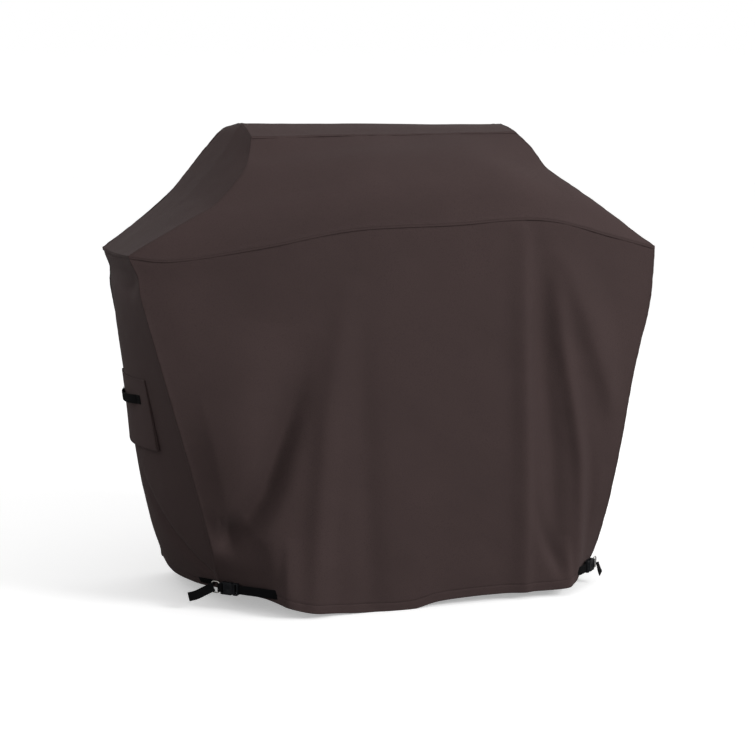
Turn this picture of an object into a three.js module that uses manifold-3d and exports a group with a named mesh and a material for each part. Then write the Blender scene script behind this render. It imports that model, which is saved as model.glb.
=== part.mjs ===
// A fabric cover draped over a barbecue grill: a hood of five sewn panels, four skirts with folded
// hems, a vent with a lifting handle on each end, and a buckled cinch strap at each front corner.
// Millimetres. +X along the cover, -Y to the front, +Z up, origin on the floor under its middle.
// Heights are given from the hem's general level, SAG above the floor. The long hems sag to the
// floor in their middles.
import * as THREE from 'three';
import Module from 'manifold-3d';
import { ParametricGeometry } from 'three/addons/geometries/ParametricGeometry.js';
import { mergeGeometries, mergeVertices } from 'three/addons/utils/BufferGeometryUtils.js';

// ---------- driving dimensions ----------
const HALF_WIDTH = 736.5; // shelf corner to the middle
const HALF_DEPTH = 320; // the furthest that the skirt stands out
const HEIGHT = 1292; // hem to the crest
const SAG = 22; // how far the long hems hang lower in their middles
const RIM_X = 377; // half the top panel's length
const FRONT_RIM = [-106, 1256]; // y and z of the top panel's front edge, at its left end
const RIM_RISE = 14; // that edge is this much higher at its right end
const REAR_RIM = [115, 1289];
const CREST_FRONT = 5; // y of the front of the flat crest
const FRONT_SHELF = [-264, 953]; // y and z of the shelf's front corner
const REAR_SHELF = [264, 945];
const REAR_SHELF_X = 730;
const FABRIC = 2.5; // thickness of a panel's solid
const HEM_FABRIC = 4; // a hem is the same cloth folded double
const HEM_WIDTH = 25;
const SEAM_GAP = 0.3;
const CORNER_GAP = FABRIC + 0.6; // what a panel's edge needs to clear its neighbour round a corner

const WEBBING_WIDTH = 25;
const WEBBING = 1.6;
const STRAP_Z = 40; // height of the straps' middle

// The vent in each end: an opening, a mesh behind it and a flap over it that stands out below.
const VENT = { width: 120, height: 90, z: 500 };
const MESH = { margin: 12, thickness: 1.2, behind: 2.6 };
const FLAP = { width: 290, top: 612, bottom: 420, lift: 7 };
const HANDLE = { span: 150, bow: 13, tab: 22, z: 555 };

// A side-release buckle, measured along the strap from the middle of the ring before it.
const BUCKLE = { width: 34, thickness: 11, start: 17, mouth: 55, end: 72 };
const BAR = { width: 4.4, thickness: 4.4, slot: 5.5, reach: 27 };
const CAVITY = { height: 27.2, thickness: 6.2, back: 31.5 };
const WINDOW = { from: 37.5, to: 50.5 };
const PRONG = { length: 22, width: 4, thickness: 5, z: 9.5, pad: 3.6, rootGap: 0.4 };
const GUIDE = { tip: 36, width: 6, thickness: 4 };
const RING = { width: 26, height: 34, wire: 3.4, corner: 6 };
const LINK = { inner: 3.4, outer: 4.9, width: 24 };

const CLOTH = { color: 0x423534, roughness: 0.9, metalness: 0 };
const BLACK_WEBBING = { color: 0x0b0b0c, roughness: 0.85, metalness: 0 };
const BLACK_PLASTIC = { color: 0x101114, roughness: 0.4, metalness: 0 };
const BLACK_MESH = { color: 0x141414, roughness: 0.8, metalness: 0 };
const NICKEL = { color: 0xb9b7b0, roughness: 0.25, metalness: 1 };

const wasm = await Module();
wasm.setup();

const point = (x, y, z) => new THREE.Vector3(x, y, z);
const mix = THREE.MathUtils.lerp;
const clamp = THREE.MathUtils.clamp;
const bump = (distance, width) => Math.exp(-((distance / width) ** 2));

function curve(...points) {
  return new THREE.CatmullRomCurve3(
    points.map(([x, y, z]) => point(x, y, z)),
    false,
    'centripetal',
  );
}

// ---------- the outline of the draped cover ----------
// Each corner ridge runs from the top panel's corner down to the end of the side shelf.
const ridges = {
  frontLeft: curve(
    [-RIM_X, ...FRONT_RIM],
    [-392, -142, 1207],
    [-416, -185, 1167],
    [-505, -226, 1079],
    [-556, -240, 1051],
    [-664, -257, 994],
    [-HALF_WIDTH, ...FRONT_SHELF],
  ),
  frontRight: curve(
    [RIM_X, FRONT_RIM[0], FRONT_RIM[1] + RIM_RISE],
    [412, -145, 1225],
    [443, -182, 1170],
    [529, -213, 1106],
    [613, -235, 1045],
    [686, -251, 989],
    [HALF_WIDTH, ...FRONT_SHELF],
  ),
  rearRight: curve(
    [RIM_X, ...REAR_RIM],
    [452, 165, 1222],
    [540, 202, 1108],
    [640, 238, 1018],
    [REAR_SHELF_X, ...REAR_SHELF],
  ),
  rearLeft: curve(
    [-RIM_X, ...REAR_RIM],
    [-405, 126, 1279],
    [-452, 157, 1224],
    [-509, 188, 1147],
    [-541, 202, 1106],
    [-602, 224, 1049],
    [-688, 251, 977],
    [-REAR_SHELF_X, ...REAR_SHELF],
  ),
};

// The waist is the seam that joins the hood to the skirts. It dips at the shelves and rises over
// the fire box.
const waist = {
  front: curve(
    [-HALF_WIDTH, ...FRONT_SHELF],
    [-640, -276, 943],
    [-400, -296, 974],
    [-155, -306, 1017],
    [120, -308, 1028],
    [385, -306, 1038],
    [600, -282, 988],
    [HALF_WIDTH, ...FRONT_SHELF],
  ),
  right: curve([HALF_WIDTH, ...FRONT_SHELF], [HALF_WIDTH, 0, 946], [REAR_SHELF_X, ...REAR_SHELF]),
  rear: curve(
    [REAR_SHELF_X, ...REAR_SHELF],
    [560, 286, 962],
    [280, 302, 1012],
    [0, 305, 1020],
    [-280, 302, 1012],
    [-560, 286, 962],
    [-REAR_SHELF_X, ...REAR_SHELF],
  ),
  left: curve([-REAR_SHELF_X, ...REAR_SHELF], [-HALF_WIDTH, 0, 946], [-HALF_WIDTH, ...FRONT_SHELF]),
};

// The long hems sag to the floor in the middle, and the straps draw in the front corners.
const hem = {
  front: curve(
    [-482, -118, 26],
    [-430, -178, 22],
    [-380, -232, 18],
    [-345, -288, 12],
    [-285, -312, -4],
    [-180, -311, -17],
    [-90, -309, -SAG - 1],
    [15, -308, -SAG - 1],
    [85, -302, -9],
    [190, -298, -3],
    [300, -297, -2],
    [440, -300, -1],
    [494, -294, 7],
    [541, -234, 20],
    [590, -170, 28],
  ),
  right: curve([590, -170, 28], [622, -60, 18], [638, 80, 14], [622, 210, 18], [592, 290, 30]),
  rear: curve(
    [592, 290, 30],
    [440, 310, 10],
    [210, 321, -SAG],
    [0, 318, -SAG],
    [-210, 321, -SAG],
    [-440, 310, 10],
    [-572, 290, 30],
  ),
  left: curve([-572, 290, 30], [-568, 210, 18], [-558, 110, 14], [-526, 0, 16], [-482, -118, 26]),
};

// Folds of a skirt: where each runs at the waist and at the hem, how wide it is, how far it
// stands out (or in, below zero), and between which heights it shows, from 0, the waist, to 1.
const folds = {
  front: [
    { waist: -215, hem: -440, width: 55, depth: -26, from: 0.35, to: 1.0 },
    { waist: -130, hem: -265, width: 45, depth: 11, from: 0.05, to: 1.2 },
    { waist: -110, hem: -105, width: 35, depth: -7, from: 0.1, to: 1.2 },
    { waist: 328, hem: 342, width: 34, depth: 11, from: -0.1, to: 1.2 },
    { waist: 372, hem: 425, width: 28, depth: -12, from: 0.0, to: 1.1 },
    { waist: 420, hem: 485, width: 34, depth: 12, from: 0.05, to: 1.0 },
    { waist: 440, hem: 760, width: 45, depth: 16, from: 0.0, to: 0.75 },
  ],
  rear: [
    { waist: -330, hem: -345, width: 60, depth: 4, from: 0.05, to: 1.2 },
    { waist: 60, hem: 40, width: 70, depth: 4, from: 0.1, to: 1.2 },
    { waist: 330, hem: 300, width: 55, depth: 4, from: 0.05, to: 1.2 },
  ],
  left: [],
  right: [],
};

const outward = {
  front: point(0, -1, 0),
  right: point(1, 0, 0),
  rear: point(0, 1, 0),
  left: point(-1, 0, 0),
};

// Where each front corner's strap stands: the middle of its ring and its heading in degrees.
const straps = {
  left: { x: -499, y: -149, heading: -43.3 },
  right: { x: 604, y: -192, heading: -132.8 },
};

// The tail's run in its strap's own axes, outward first: along, out and up from the ring's middle.
const TAIL = {
  left: [
    [-2, 6, 2],
    [-20, 18, -8],
    [-42, 34, -20],
    [-60, 44, -25],
  ],
  right: [
    [4, 9.5, 2],
    [5, 13, -9],
    [3, 16, -21],
    [-2, 19, -33],
  ],
};
const ANCHOR_S = { left: [0.8, 0.95], right: [0.05, 0.2] };
const FRONT_STRAP = { left: 45, right: 38 }; // its length from the plug to the fold that hides it

const BELLY = { front: 0, right: 24, rear: 0, left: 58 }; // how far the middle of an end hangs out
const FADE = 8; // the ends hang out until just above the hem
const TUCK = 6; // the corners turn in late, just above the hem

// Below the shelves' ends the cloth bulges out, or is pinched in, below zero: how far, at what
// share of the fall, and over what share.
const HANG = { left: [-9, 0.06, 0.035], right: [15, 0.17, 0.13] };

function hang(x, t) {
  const [depth, middle, width] = x < 0 ? HANG.left : HANG.right;
  const nearEnd = THREE.MathUtils.smoothstep(Math.abs(x), 350, 700);
  return Math.sign(x) * depth * bump(t - middle, width) * nearEnd;
}

function foldOffset(list, x, t) {
  return list.reduce((sum, fold) => {
    const distance = x - mix(fold.waist, fold.hem, t);
    const fadeIn = THREE.MathUtils.smoothstep(t, fold.from, fold.from + 0.3);
    const fadeOut = 1 - THREE.MathUtils.smoothstep(t, fold.to - 0.3, fold.to);
    return sum + fold.depth * bump(distance, fold.width) * fadeIn * fadeOut;
  }, 0);
}

// A point of a skirt's outer face: s from 0 to 1, left to right as seen from outside, and t from
// 0 at the waist to 1 at the hem.
function skirt(side) {
  return (s, t) => {
    const top = waist[side].getPointAt(clamp(s, 0, 1));
    const bottom = hem[side].getPointAt(clamp(s, 0, 1));
    const lengthwise = side === 'front' || side === 'rear';
    const late = t ** TUCK;
    const z = Math.max(-SAG, mix(top.z, bottom.z, t));
    const p = point(mix(top.x, bottom.x, t), mix(top.y, bottom.y, late), z);
    const middle = Math.sin(Math.PI * clamp(s, 0, 1));
    const belly = BELLY[side] * middle * (1 - (1 - t) ** 2) * (1 - t ** FADE);
    const fold = lengthwise ? foldOffset(folds[side], p.x, t) * Math.min(1, 4 * middle) : 0;
    p.addScaledVector(outward[side], belly + fold);
    p.x = clamp(p.x + hang(p.x, t), -HALF_WIDTH, HALF_WIDTH);
    p.y = clamp(p.y, -HALF_DEPTH, HALF_DEPTH);
    return p;
  };
}

// A surface that fills four boundary curves and stands out in its middle by `crown`.
function coons(top, bottom, left, right, crown = point(0, 0, 0)) {
  return (s, t) => {
    const across = top(s).multiplyScalar(1 - t).addScaledVector(bottom(s), t);
    const down = left(t).multiplyScalar(1 - s).addScaledVector(right(t), s);
    const corners = top(0)
      .lerp(top(1), s)
      .multiplyScalar(1 - t)
      .addScaledVector(bottom(0).lerp(bottom(1), s), t);
    const middle = Math.sin(Math.PI * s) ** 0.6 * Math.sin(Math.PI * t);
    return across.add(down).sub(corners).addScaledVector(crown, middle);
  };
}

// The top panel's profile, from its rear edge over the flat crest to its front edge, at its left
// end, and how much higher it is further along.
const crest = [REAR_RIM, [75, HEIGHT], [CREST_FRONT, HEIGHT], [-50, 1276], FRONT_RIM];

function crestRise(x, y) {
  const forward = clamp((CREST_FRONT - y) / (CREST_FRONT - FRONT_RIM[0]), 0, 1);
  return RIM_RISE * forward * clamp((x + RIM_X) / (2 * RIM_X), 0, 1);
}

function crestPath(x) {
  const corners = crest.map(([y, z]) => point(x, y, z + crestRise(x, y)));
  const path = new THREE.CurvePath();
  corners.slice(1).forEach((corner, i) => path.add(new THREE.LineCurve3(corners[i], corner)));
  return path;
}

const along = (path) => (s) => path.getPointAt(clamp(s, 0, 1));
const backwards = (path) => (s) => path.getPointAt(clamp(1 - s, 0, 1));
const down = (path) => (t) => path.getPointAt(clamp(t, 0, 1));
const straight = (a, b) => (s) => a.clone().lerp(b, s);

const hood = {
  front: coons(
    straight(ridges.frontLeft.points[0], ridges.frontRight.points[0]),
    along(waist.front),
    down(ridges.frontLeft),
    down(ridges.frontRight),
    point(0, -30, 26),
  ),
  rear: coons(
    straight(ridges.rearRight.points[0], ridges.rearLeft.points[0]),
    along(waist.rear),
    down(ridges.rearRight),
    down(ridges.rearLeft),
    point(0, 34, 12),
  ),
  left: coons(
    along(crestPath(-RIM_X)),
    along(waist.left),
    down(ridges.rearLeft),
    down(ridges.frontLeft),
    point(0, 0, 4),
  ),
  right: coons(
    backwards(crestPath(RIM_X)),
    along(waist.right),
    down(ridges.frontRight),
    down(ridges.rearRight),
    point(0, 0, 4),
  ),
};

// ---------- solids ----------
function closed(geometries) {
  const merged = mergeGeometries(geometries.map((g) => (g.index ? g.toNonIndexed() : g)));
  merged.deleteAttribute('normal');
  merged.deleteAttribute('uv');
  return mergeVertices(merged, 1e-3);
}

function finished(geometry) {
  const shaded = geometry.toNonIndexed();
  shaded.computeVertexNormals();
  return shaded;
}

// The outward unit normal of a surface given as above. `level` keeps it horizontal.
function normalOf(surface, s, t, level) {
  const step = 2e-3;
  const [s0, s1] = [Math.max(0, s - step), Math.min(1, s + step)];
  const [t0, t1] = [Math.max(0, t - step), Math.min(1, t + step)];
  const acrossStep = surface(s1, t).sub(surface(s0, t));
  const upStep = surface(s, t0).sub(surface(s, t1));
  const normal = acrossStep.cross(upStep);
  if (level) normal.z = 0;
  return normal.normalize();
}

// A closed sheet of cloth on a surface, over s and t ranges, with its edges drawn in by a gap.
// `lift` moves it out from the surface, by a number or a function of the sheet's own s and t.
function sheet(surface, options) {
  const { s = [0, 1], t = [0, 1], gap = {}, cols, rows, thickness, lift = 0, level = false } = options;
  const { left = SEAM_GAP, right = SEAM_GAP, top = SEAM_GAP, bottom = SEAM_GAP } = gap;
  const liftAt = typeof lift === 'function' ? lift : () => lift;
  const middleS = (s[0] + s[1]) / 2;
  const fall = surface(middleS, t[0]).distanceTo(surface(middleS, t[1]));

  function place(u, v, depth) {
    const tt = mix(t[0] + (top / fall) * (t[1] - t[0]), t[1] - (bottom / fall) * (t[1] - t[0]), v);
    const span = surface(s[0], tt).distanceTo(surface(s[1], tt));
    const ss = mix(s[0] + (left / span) * (s[1] - s[0]), s[1] - (right / span) * (s[1] - s[0]), u);
    return surface(ss, tt).addScaledVector(normalOf(surface, ss, tt, level), liftAt(u, v) - depth);
  }

  const grid = (f, slices, stacks) => {
    return new ParametricGeometry((u, v, target) => target.copy(f(u, v)), slices, stacks);
  };
  // The outer face is run through the other way round, which turns it outward and splits each of
  // its cells along the same diagonal as the inner face's.
  return closed([
    grid((u, v) => place(v, u, 0), rows, cols),
    grid((u, v) => place(u, v, thickness), cols, rows),
    grid((u, v) => place(u, 0, v * thickness), cols, 1),
    grid((u, v) => place(1 - u, 1, v * thickness), cols, 1),
    grid((u, v) => place(0, 1 - u, v * thickness), rows, 1),
    grid((u, v) => place(1, u, v * thickness), rows, 1),
  ]);
}

function toSolid(geometry) {
  return new wasm.Manifold(
    new wasm.Mesh({
      numProp: 3,
      vertProperties: new Float32Array(geometry.attributes.position.array),
      triVerts: new Uint32Array(geometry.index.array),
    }),
  );
}

function fromSolid(solid) {
  const mesh = solid.getMesh();
  return new THREE.BufferGeometry()
    .setAttribute('position', new THREE.BufferAttribute(new Float32Array(mesh.vertProperties), 3))
    .setIndex([...mesh.triVerts]);
}

const subtract = (geometry, ...tools) =>
  fromSolid(tools.reduce((solid, tool) => solid.subtract(toSolid(tool)), toSolid(geometry)));
const join = (geometry, ...others) =>
  fromSolid(others.reduce((solid, other) => solid.add(toSolid(other)), toSolid(geometry)));

function box(x, y, z, cx = 0, cy = 0, cz = 0) {
  return closed([new THREE.BoxGeometry(x, y, z).translate(cx, cy, cz)]);
}

// A plate in the XZ plane with rounded corners, `thickness` through Y.
function roundedPlate(length, height, radius, thickness) {
  const [x, z] = [length / 2, height / 2];
  const outline = new THREE.Shape()
    .moveTo(-x + radius, -z)
    .lineTo(x - radius, -z)
    .absarc(x - radius, -z + radius, radius, -Math.PI / 2, 0)
    .lineTo(x, z - radius)
    .absarc(x - radius, z - radius, radius, 0, Math.PI / 2)
    .lineTo(-x + radius, z)
    .absarc(-x + radius, z - radius, radius, Math.PI / 2, Math.PI)
    .lineTo(-x, -z + radius)
    .absarc(-x + radius, -z + radius, radius, Math.PI, 1.5 * Math.PI);
  const options = { depth: thickness, bevelEnabled: false, curveSegments: 4 };
  const plate = new THREE.ExtrudeGeometry(outline, options);
  return closed([plate.translate(0, 0, -thickness / 2).rotateX(Math.PI / 2)]);
}

const cover = new THREE.Group();
cover.position.z = SAG;

function add(parent, name, geometry, look) {
  const mesh = new THREE.Mesh(finished(geometry), new THREE.MeshStandardMaterial(look));
  mesh.name = name;
  parent.add(mesh);
  return mesh;
}

// ---------- hood ----------
function topPanel() {
  const outer = crest.map(([y, z]) => new THREE.Vector2(y, z));
  const inner = crest.map(([y, z]) => new THREE.Vector2(y, z - FABRIC)).reverse();
  const profile = new THREE.Shape([...outer, ...inner]);
  const length = 2 * (RIM_X - CORNER_GAP);
  const slab = new THREE.ExtrudeGeometry(profile, { depth: length, steps: 1, bevelEnabled: false });
  // The profile's x and y are the cover's Y and Z, and the extrusion runs along X.
  const axes = new THREE.Matrix4().makeBasis(point(0, 1, 0), point(0, 0, 1), point(1, 0, 0));
  const panel = closed([slab.applyMatrix4(axes).translate(-length / 2, 0, 0)]);
  const corners = panel.attributes.position;
  for (let i = 0; i < corners.count; i += 1) {
    corners.setZ(i, corners.getZ(i) + crestRise(corners.getX(i), corners.getY(i)));
  }
  return panel;
}

const around = { left: CORNER_GAP, right: CORNER_GAP, top: CORNER_GAP, bottom: CORNER_GAP };

add(cover, 'top_panel', topPanel(), CLOTH);
const SIDES = ['front', 'rear', 'left', 'right'];
const hoodNames = {
  front: 'front_hood_panel',
  rear: 'rear_hood_panel',
  left: 'left_end_panel',
  right: 'right_end_panel',
};
for (const side of SIDES) {
  const long = side === 'front' || side === 'rear';
  const panel = sheet(hood[side], { cols: long ? 16 : 6, rows: 6, thickness: FABRIC, gap: around });
  add(cover, hoodNames[side], panel, CLOTH);
}

// ---------- skirts and hems ----------
const skirtSurface = Object.fromEntries(SIDES.map((side) => [side, skirt(side)]));

function hemStart(side) {
  const surface = skirtSurface[side];
  return 1 - HEM_WIDTH / surface(0.5, 0).distanceTo(surface(0.5, 1));
}

// Every end piece lies on a patch of its skirt: a width of the skirt's middle between two heights.
function patchOf(surface, width, top, bottom) {
  const span = surface(0, 0.5).distanceTo(surface(1, 0.5));
  const crown = surface(0.5, 0).z;
  const fall = crown - surface(0.5, 1).z;
  const share = width / span / 2;
  return { s: [0.5 - share, 0.5 + share], t: [(crown - top) / fall, (crown - bottom) / fall] };
}

for (const side of SIDES) {
  const cols = { front: 22, rear: 14, left: 8, right: 8 }[side];
  const panel = sheet(skirtSurface[side], {
    t: [0, hemStart(side)],
    cols,
    rows: 9,
    thickness: FABRIC,
    gap: { left: CORNER_GAP, right: CORNER_GAP, top: CORNER_GAP },
  });
  const isEnd = side === 'left' || side === 'right';
  const ventHole = box(200, VENT.width, VENT.height, outward[side].x * HALF_WIDTH, 0, VENT.z);
  add(cover, `${side}_skirt`, isEnd ? subtract(panel, ventHole) : panel, CLOTH);
  const band = sheet(skirtSurface[side], {
    t: [hemStart(side), 1],
    cols,
    rows: 1,
    thickness: HEM_FABRIC,
    gap: { left: CORNER_GAP + 2, right: CORNER_GAP + 2, bottom: 0 },
    level: true,
  });
  add(cover, `${side}_hem`, band, CLOTH);
}

// ---------- vents and handles ----------
const CLEAR = 1.2; // between a piece sewn onto a skirt and the skirt
const flapLift = (v) => FABRIC + CLEAR + FLAP.lift * v ** 2;

function vent(side) {
  const surface = skirtSurface[side];
  const flap = patchOf(surface, FLAP.width, FLAP.top, FLAP.bottom);
  const flapShape = { cols: 8, rows: 5, thickness: FABRIC, lift: (u, v) => flapLift(v) };
  const flapSheet = sheet(surface, { ...flap, ...flapShape });
  add(cover, `${side}_vent_flap`, flapSheet, CLOTH);

  const [meshWidth, meshHeight] = [VENT.width + 2 * MESH.margin, VENT.height + 2 * MESH.margin];
  const mesh = patchOf(surface, meshWidth, VENT.z + meshHeight / 2, VENT.z - meshHeight / 2);
  const meshShape = { cols: 4, rows: 3, thickness: MESH.thickness, lift: -FABRIC - MESH.behind };
  const meshSheet = sheet(surface, { ...mesh, ...meshShape });
  add(cover, `${side}_vent_mesh`, meshSheet, BLACK_MESH);

  // The handle is webbing sewn to the flap by a tab at each end, and bowed out between them.
  const [upper, lower] = [HANDLE.z + WEBBING_WIDTH / 2, HANDLE.z - WEBBING_WIDTH / 2];
  const whole = patchOf(surface, HANDLE.span + 2 * HANDLE.tab, upper, lower);
  const loop = patchOf(surface, HANDLE.span, upper, lower);
  const onFlap = flapLift((FLAP.top - HANDLE.z) / (FLAP.top - FLAP.bottom)) + WEBBING + CLEAR;
  const bowed = (u) => onFlap + HANDLE.bow * Math.sin(Math.PI * u) ** 0.8;
  const webbing = { t: loop.t, rows: 1, thickness: WEBBING };
  const handle = sheet(surface, { ...webbing, s: loop.s, cols: 14, lift: bowed });
  add(cover, `${side}_handle`, handle, BLACK_WEBBING);
  const ends = [
    [whole.s[0], loop.s[0]],
    [loop.s[1], whole.s[1]],
  ];
  const endNames = side === 'left' ? ['rear', 'front'] : ['front', 'rear'];
  ends.forEach((s, i) => {
    const tab = sheet(surface, { ...webbing, s, cols: 1, lift: onFlap });
    add(cover, `${side}_handle_${endNames[i]}_tab`, tab, BLACK_WEBBING);
  });
}

// ---------- straps ----------
// A strap's parts are built along X in a group of their own, with its webbing's width along Z.
function ringGeometry() {
  const [x, z] = [(RING.width - RING.wire) / 2, (RING.height - RING.wire) / 2];
  const r = RING.corner;
  const outline = new THREE.Path()
    .moveTo(x, 0)
    .lineTo(x, z - r)
    .absarc(x - r, z - r, r, 0, Math.PI / 2)
    .lineTo(-x + r, z)
    .absarc(-x + r, z - r, r, Math.PI / 2, Math.PI)
    .lineTo(-x, -z + r)
    .absarc(-x + r, -z + r, r, Math.PI, 1.5 * Math.PI)
    .lineTo(x - r, -z)
    .absarc(x - r, -z + r, r, -Math.PI / 2, 0)
    .lineTo(x, 0);
  const wire = new ParametricGeometry(
    (u, v, target) => {
      const centre = outline.getPointAt(u % 1);
      const tangent = outline.getTangentAt(u % 1);
      const angle = 2 * Math.PI * (v % 1);
      const out = (RING.wire / 2) * Math.cos(angle);
      const through = (-RING.wire / 2) * Math.sin(angle);
      target.set(centre.x + tangent.y * out, through, centre.y - tangent.x * out);
    },
    28,
    6,
  );
  return closed([wire]);
}

// The short loop of webbing that joins the ring to the buckle's bar.
function linkGeometry() {
  const from = (RING.width - RING.wire) / 2;
  const to = BUCKLE.start + BAR.width / 2;
  const stadium = (Type, radius) =>
    new Type()
      .absarc(from, 0, radius, Math.PI / 2, 1.5 * Math.PI)
      .absarc(to, 0, radius, -Math.PI / 2, Math.PI / 2);
  const outline = stadium(THREE.Shape, LINK.outer);
  outline.holes.push(stadium(THREE.Path, LINK.inner));
  const options = { depth: LINK.width, bevelEnabled: false, curveSegments: 6 };
  const loop = new THREE.ExtrudeGeometry(outline, options);
  return closed([loop.translate(0, 0, -LINK.width / 2)]);
}

function socketGeometry() {
  const length = BUCKLE.mouth - BUCKLE.start;
  const body = roundedPlate(length, BUCKLE.width, 4, BUCKLE.thickness);
  body.translate(BUCKLE.start + length / 2, 0, 0);
  const slotStart = BUCKLE.start + BAR.width;
  const beside = (BUCKLE.thickness - BAR.thickness) / 2;
  const besideY = (BAR.thickness + beside) / 2;
  const cavityLength = BUCKLE.mouth - CAVITY.back + 1;
  const barMiddle = slotStart - BAR.width / 2 - 0.9;
  return subtract(
    body,
    box(BAR.slot, 2 * BUCKLE.thickness, BAR.reach, slotStart + BAR.slot / 2, 0, 0),
    box(BAR.width + 2, beside, BAR.reach, barMiddle, besideY, 0),
    box(BAR.width + 2, beside, BAR.reach, barMiddle, -besideY, 0),
    box(cavityLength, CAVITY.thickness, CAVITY.height, CAVITY.back + cavityLength / 2, 0, 0),
    box(WINDOW.to - WINDOW.from, CAVITY.thickness, 2 * BUCKLE.width, (WINDOW.to + WINDOW.from) / 2),
  );
}

function plugGeometry() {
  const start = BUCKLE.mouth + PRONG.rootGap;
  const length = BUCKLE.end - start;
  const base = roundedPlate(length, BUCKLE.width, 3, BUCKLE.thickness - 2);
  base.translate(start + length / 2, 0, 0);
  const guideLength = start - GUIDE.tip + 1;
  const guide = box(guideLength, GUIDE.thickness, GUIDE.width, GUIDE.tip + guideLength / 2, 0, 0);
  const slotMiddle = BUCKLE.end - BAR.width - BAR.slot / 2;
  const slot = box(BAR.slot, 2 * BUCKLE.thickness, BAR.reach, slotMiddle);
  return subtract(join(base, guide), slot);
}

// One springy arm of the plug. Its pad fills the socket's window, where fingers press it.
function prongGeometry(up) {
  const root = BUCKLE.mouth;
  const armMiddle = root - PRONG.length / 2;
  const arm = box(PRONG.length, PRONG.thickness, PRONG.width, armMiddle, 0, up * PRONG.z);
  const padLength = WINDOW.to - WINDOW.from - 2.5;
  const padMiddle = (WINDOW.to + WINDOW.from) / 2;
  const padZ = up * (PRONG.z + PRONG.pad / 2);
  const pad = box(padLength, PRONG.thickness, PRONG.pad, padMiddle, 0, padZ);
  return join(arm, pad);
}

function strap(side) {
  const place = straps[side];
  const out = side === 'left' ? -1 : 1; // which way along the group's own Y is outward
  const group = new THREE.Group();
  group.position.set(place.x, place.y, STRAP_Z);
  group.rotation.z = THREE.MathUtils.degToRad(place.heading);
  cover.add(group);
  add(group, `${side}_strap_ring`, ringGeometry(), NICKEL);
  add(group, `${side}_strap_link`, linkGeometry(), BLACK_WEBBING);
  add(group, `${side}_buckle_socket`, socketGeometry(), BLACK_PLASTIC);
  add(group, `${side}_buckle_plug`, plugGeometry(), BLACK_PLASTIC);
  add(group, `${side}_buckle_upper_prong`, prongGeometry(1), BLACK_PLASTIC);
  add(group, `${side}_buckle_lower_prong`, prongGeometry(-1), BLACK_PLASTIC);

  // The free end hangs out of the ring, with its width square to its run.
  const tail = TAIL[side].map(([x, y, z]) => point(x, out * y, z));
  const run = new THREE.CatmullRomCurve3(tail, false, 'centripetal');
  const facing = point(0, out, 0);
  const ribbon = (s, t) => {
    const widthways = facing.clone().cross(run.getTangentAt(s)).normalize();
    return run.getPointAt(s).addScaledVector(widthways, out * (t - 0.5) * WEBBING_WIDTH);
  };
  const tailSheet = sheet(ribbon, { cols: 8, rows: 1, thickness: WEBBING });
  add(group, `${side}_strap_tail`, tailSheet, BLACK_WEBBING);

  // The webbing that runs on from the plug until the front skirt's corner fold hides it.
  const from = BUCKLE.end + SEAM_GAP;
  const length = FRONT_STRAP[side];
  const frontStrap = box(length, WEBBING, WEBBING_WIDTH, from + length / 2);
  add(group, `${side}_front_strap`, frontStrap, BLACK_WEBBING);

  // The webbing sewn to the end skirt behind the ring.
  const surface = skirtSurface[side];
  const crown = surface(ANCHOR_S[side][0], 0).z;
  const fall = crown - surface(ANCHOR_S[side][0], 1).z;
  const edges = [STRAP_Z + WEBBING_WIDTH / 2, STRAP_Z - WEBBING_WIDTH / 2];
  const anchor = sheet(surface, {
    s: ANCHOR_S[side],
    t: edges.map((z) => (crown - z) / fall),
    cols: 8,
    rows: 1,
    thickness: WEBBING,
    lift: WEBBING + CLEAR,
  });
  add(cover, `${side}_strap_anchor`, anchor, BLACK_WEBBING);
}

for (const side of ['left', 'right']) {
  vent(side);
  strap(side);
}

export default cover;
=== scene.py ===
"""The looks of a fabric grill cover: sewn cloth panels, hems, vents, handles and cinch straps."""

import math

import bmesh
import bpy
import numpy as np
from mathutils import Matrix, Vector


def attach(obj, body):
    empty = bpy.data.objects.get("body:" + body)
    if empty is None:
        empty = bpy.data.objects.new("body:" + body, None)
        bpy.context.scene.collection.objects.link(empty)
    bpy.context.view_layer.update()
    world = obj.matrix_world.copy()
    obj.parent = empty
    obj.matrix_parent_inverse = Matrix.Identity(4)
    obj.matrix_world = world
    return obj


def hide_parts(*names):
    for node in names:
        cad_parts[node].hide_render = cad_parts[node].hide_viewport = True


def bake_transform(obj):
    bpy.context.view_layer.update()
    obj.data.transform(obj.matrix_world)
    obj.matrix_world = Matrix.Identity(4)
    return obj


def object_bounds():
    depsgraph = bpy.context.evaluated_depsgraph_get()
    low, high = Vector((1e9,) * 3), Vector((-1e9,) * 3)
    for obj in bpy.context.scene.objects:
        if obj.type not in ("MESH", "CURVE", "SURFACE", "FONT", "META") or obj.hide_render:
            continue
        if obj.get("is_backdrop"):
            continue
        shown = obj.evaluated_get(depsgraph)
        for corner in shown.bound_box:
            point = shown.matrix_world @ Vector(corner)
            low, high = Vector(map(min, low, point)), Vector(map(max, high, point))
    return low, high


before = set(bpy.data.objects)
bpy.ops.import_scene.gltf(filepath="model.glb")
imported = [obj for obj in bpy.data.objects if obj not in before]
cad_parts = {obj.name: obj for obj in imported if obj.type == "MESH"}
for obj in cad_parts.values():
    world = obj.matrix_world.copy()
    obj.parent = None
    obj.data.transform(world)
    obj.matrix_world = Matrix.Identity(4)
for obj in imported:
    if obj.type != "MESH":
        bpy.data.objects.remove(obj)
CAD_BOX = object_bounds()

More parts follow.
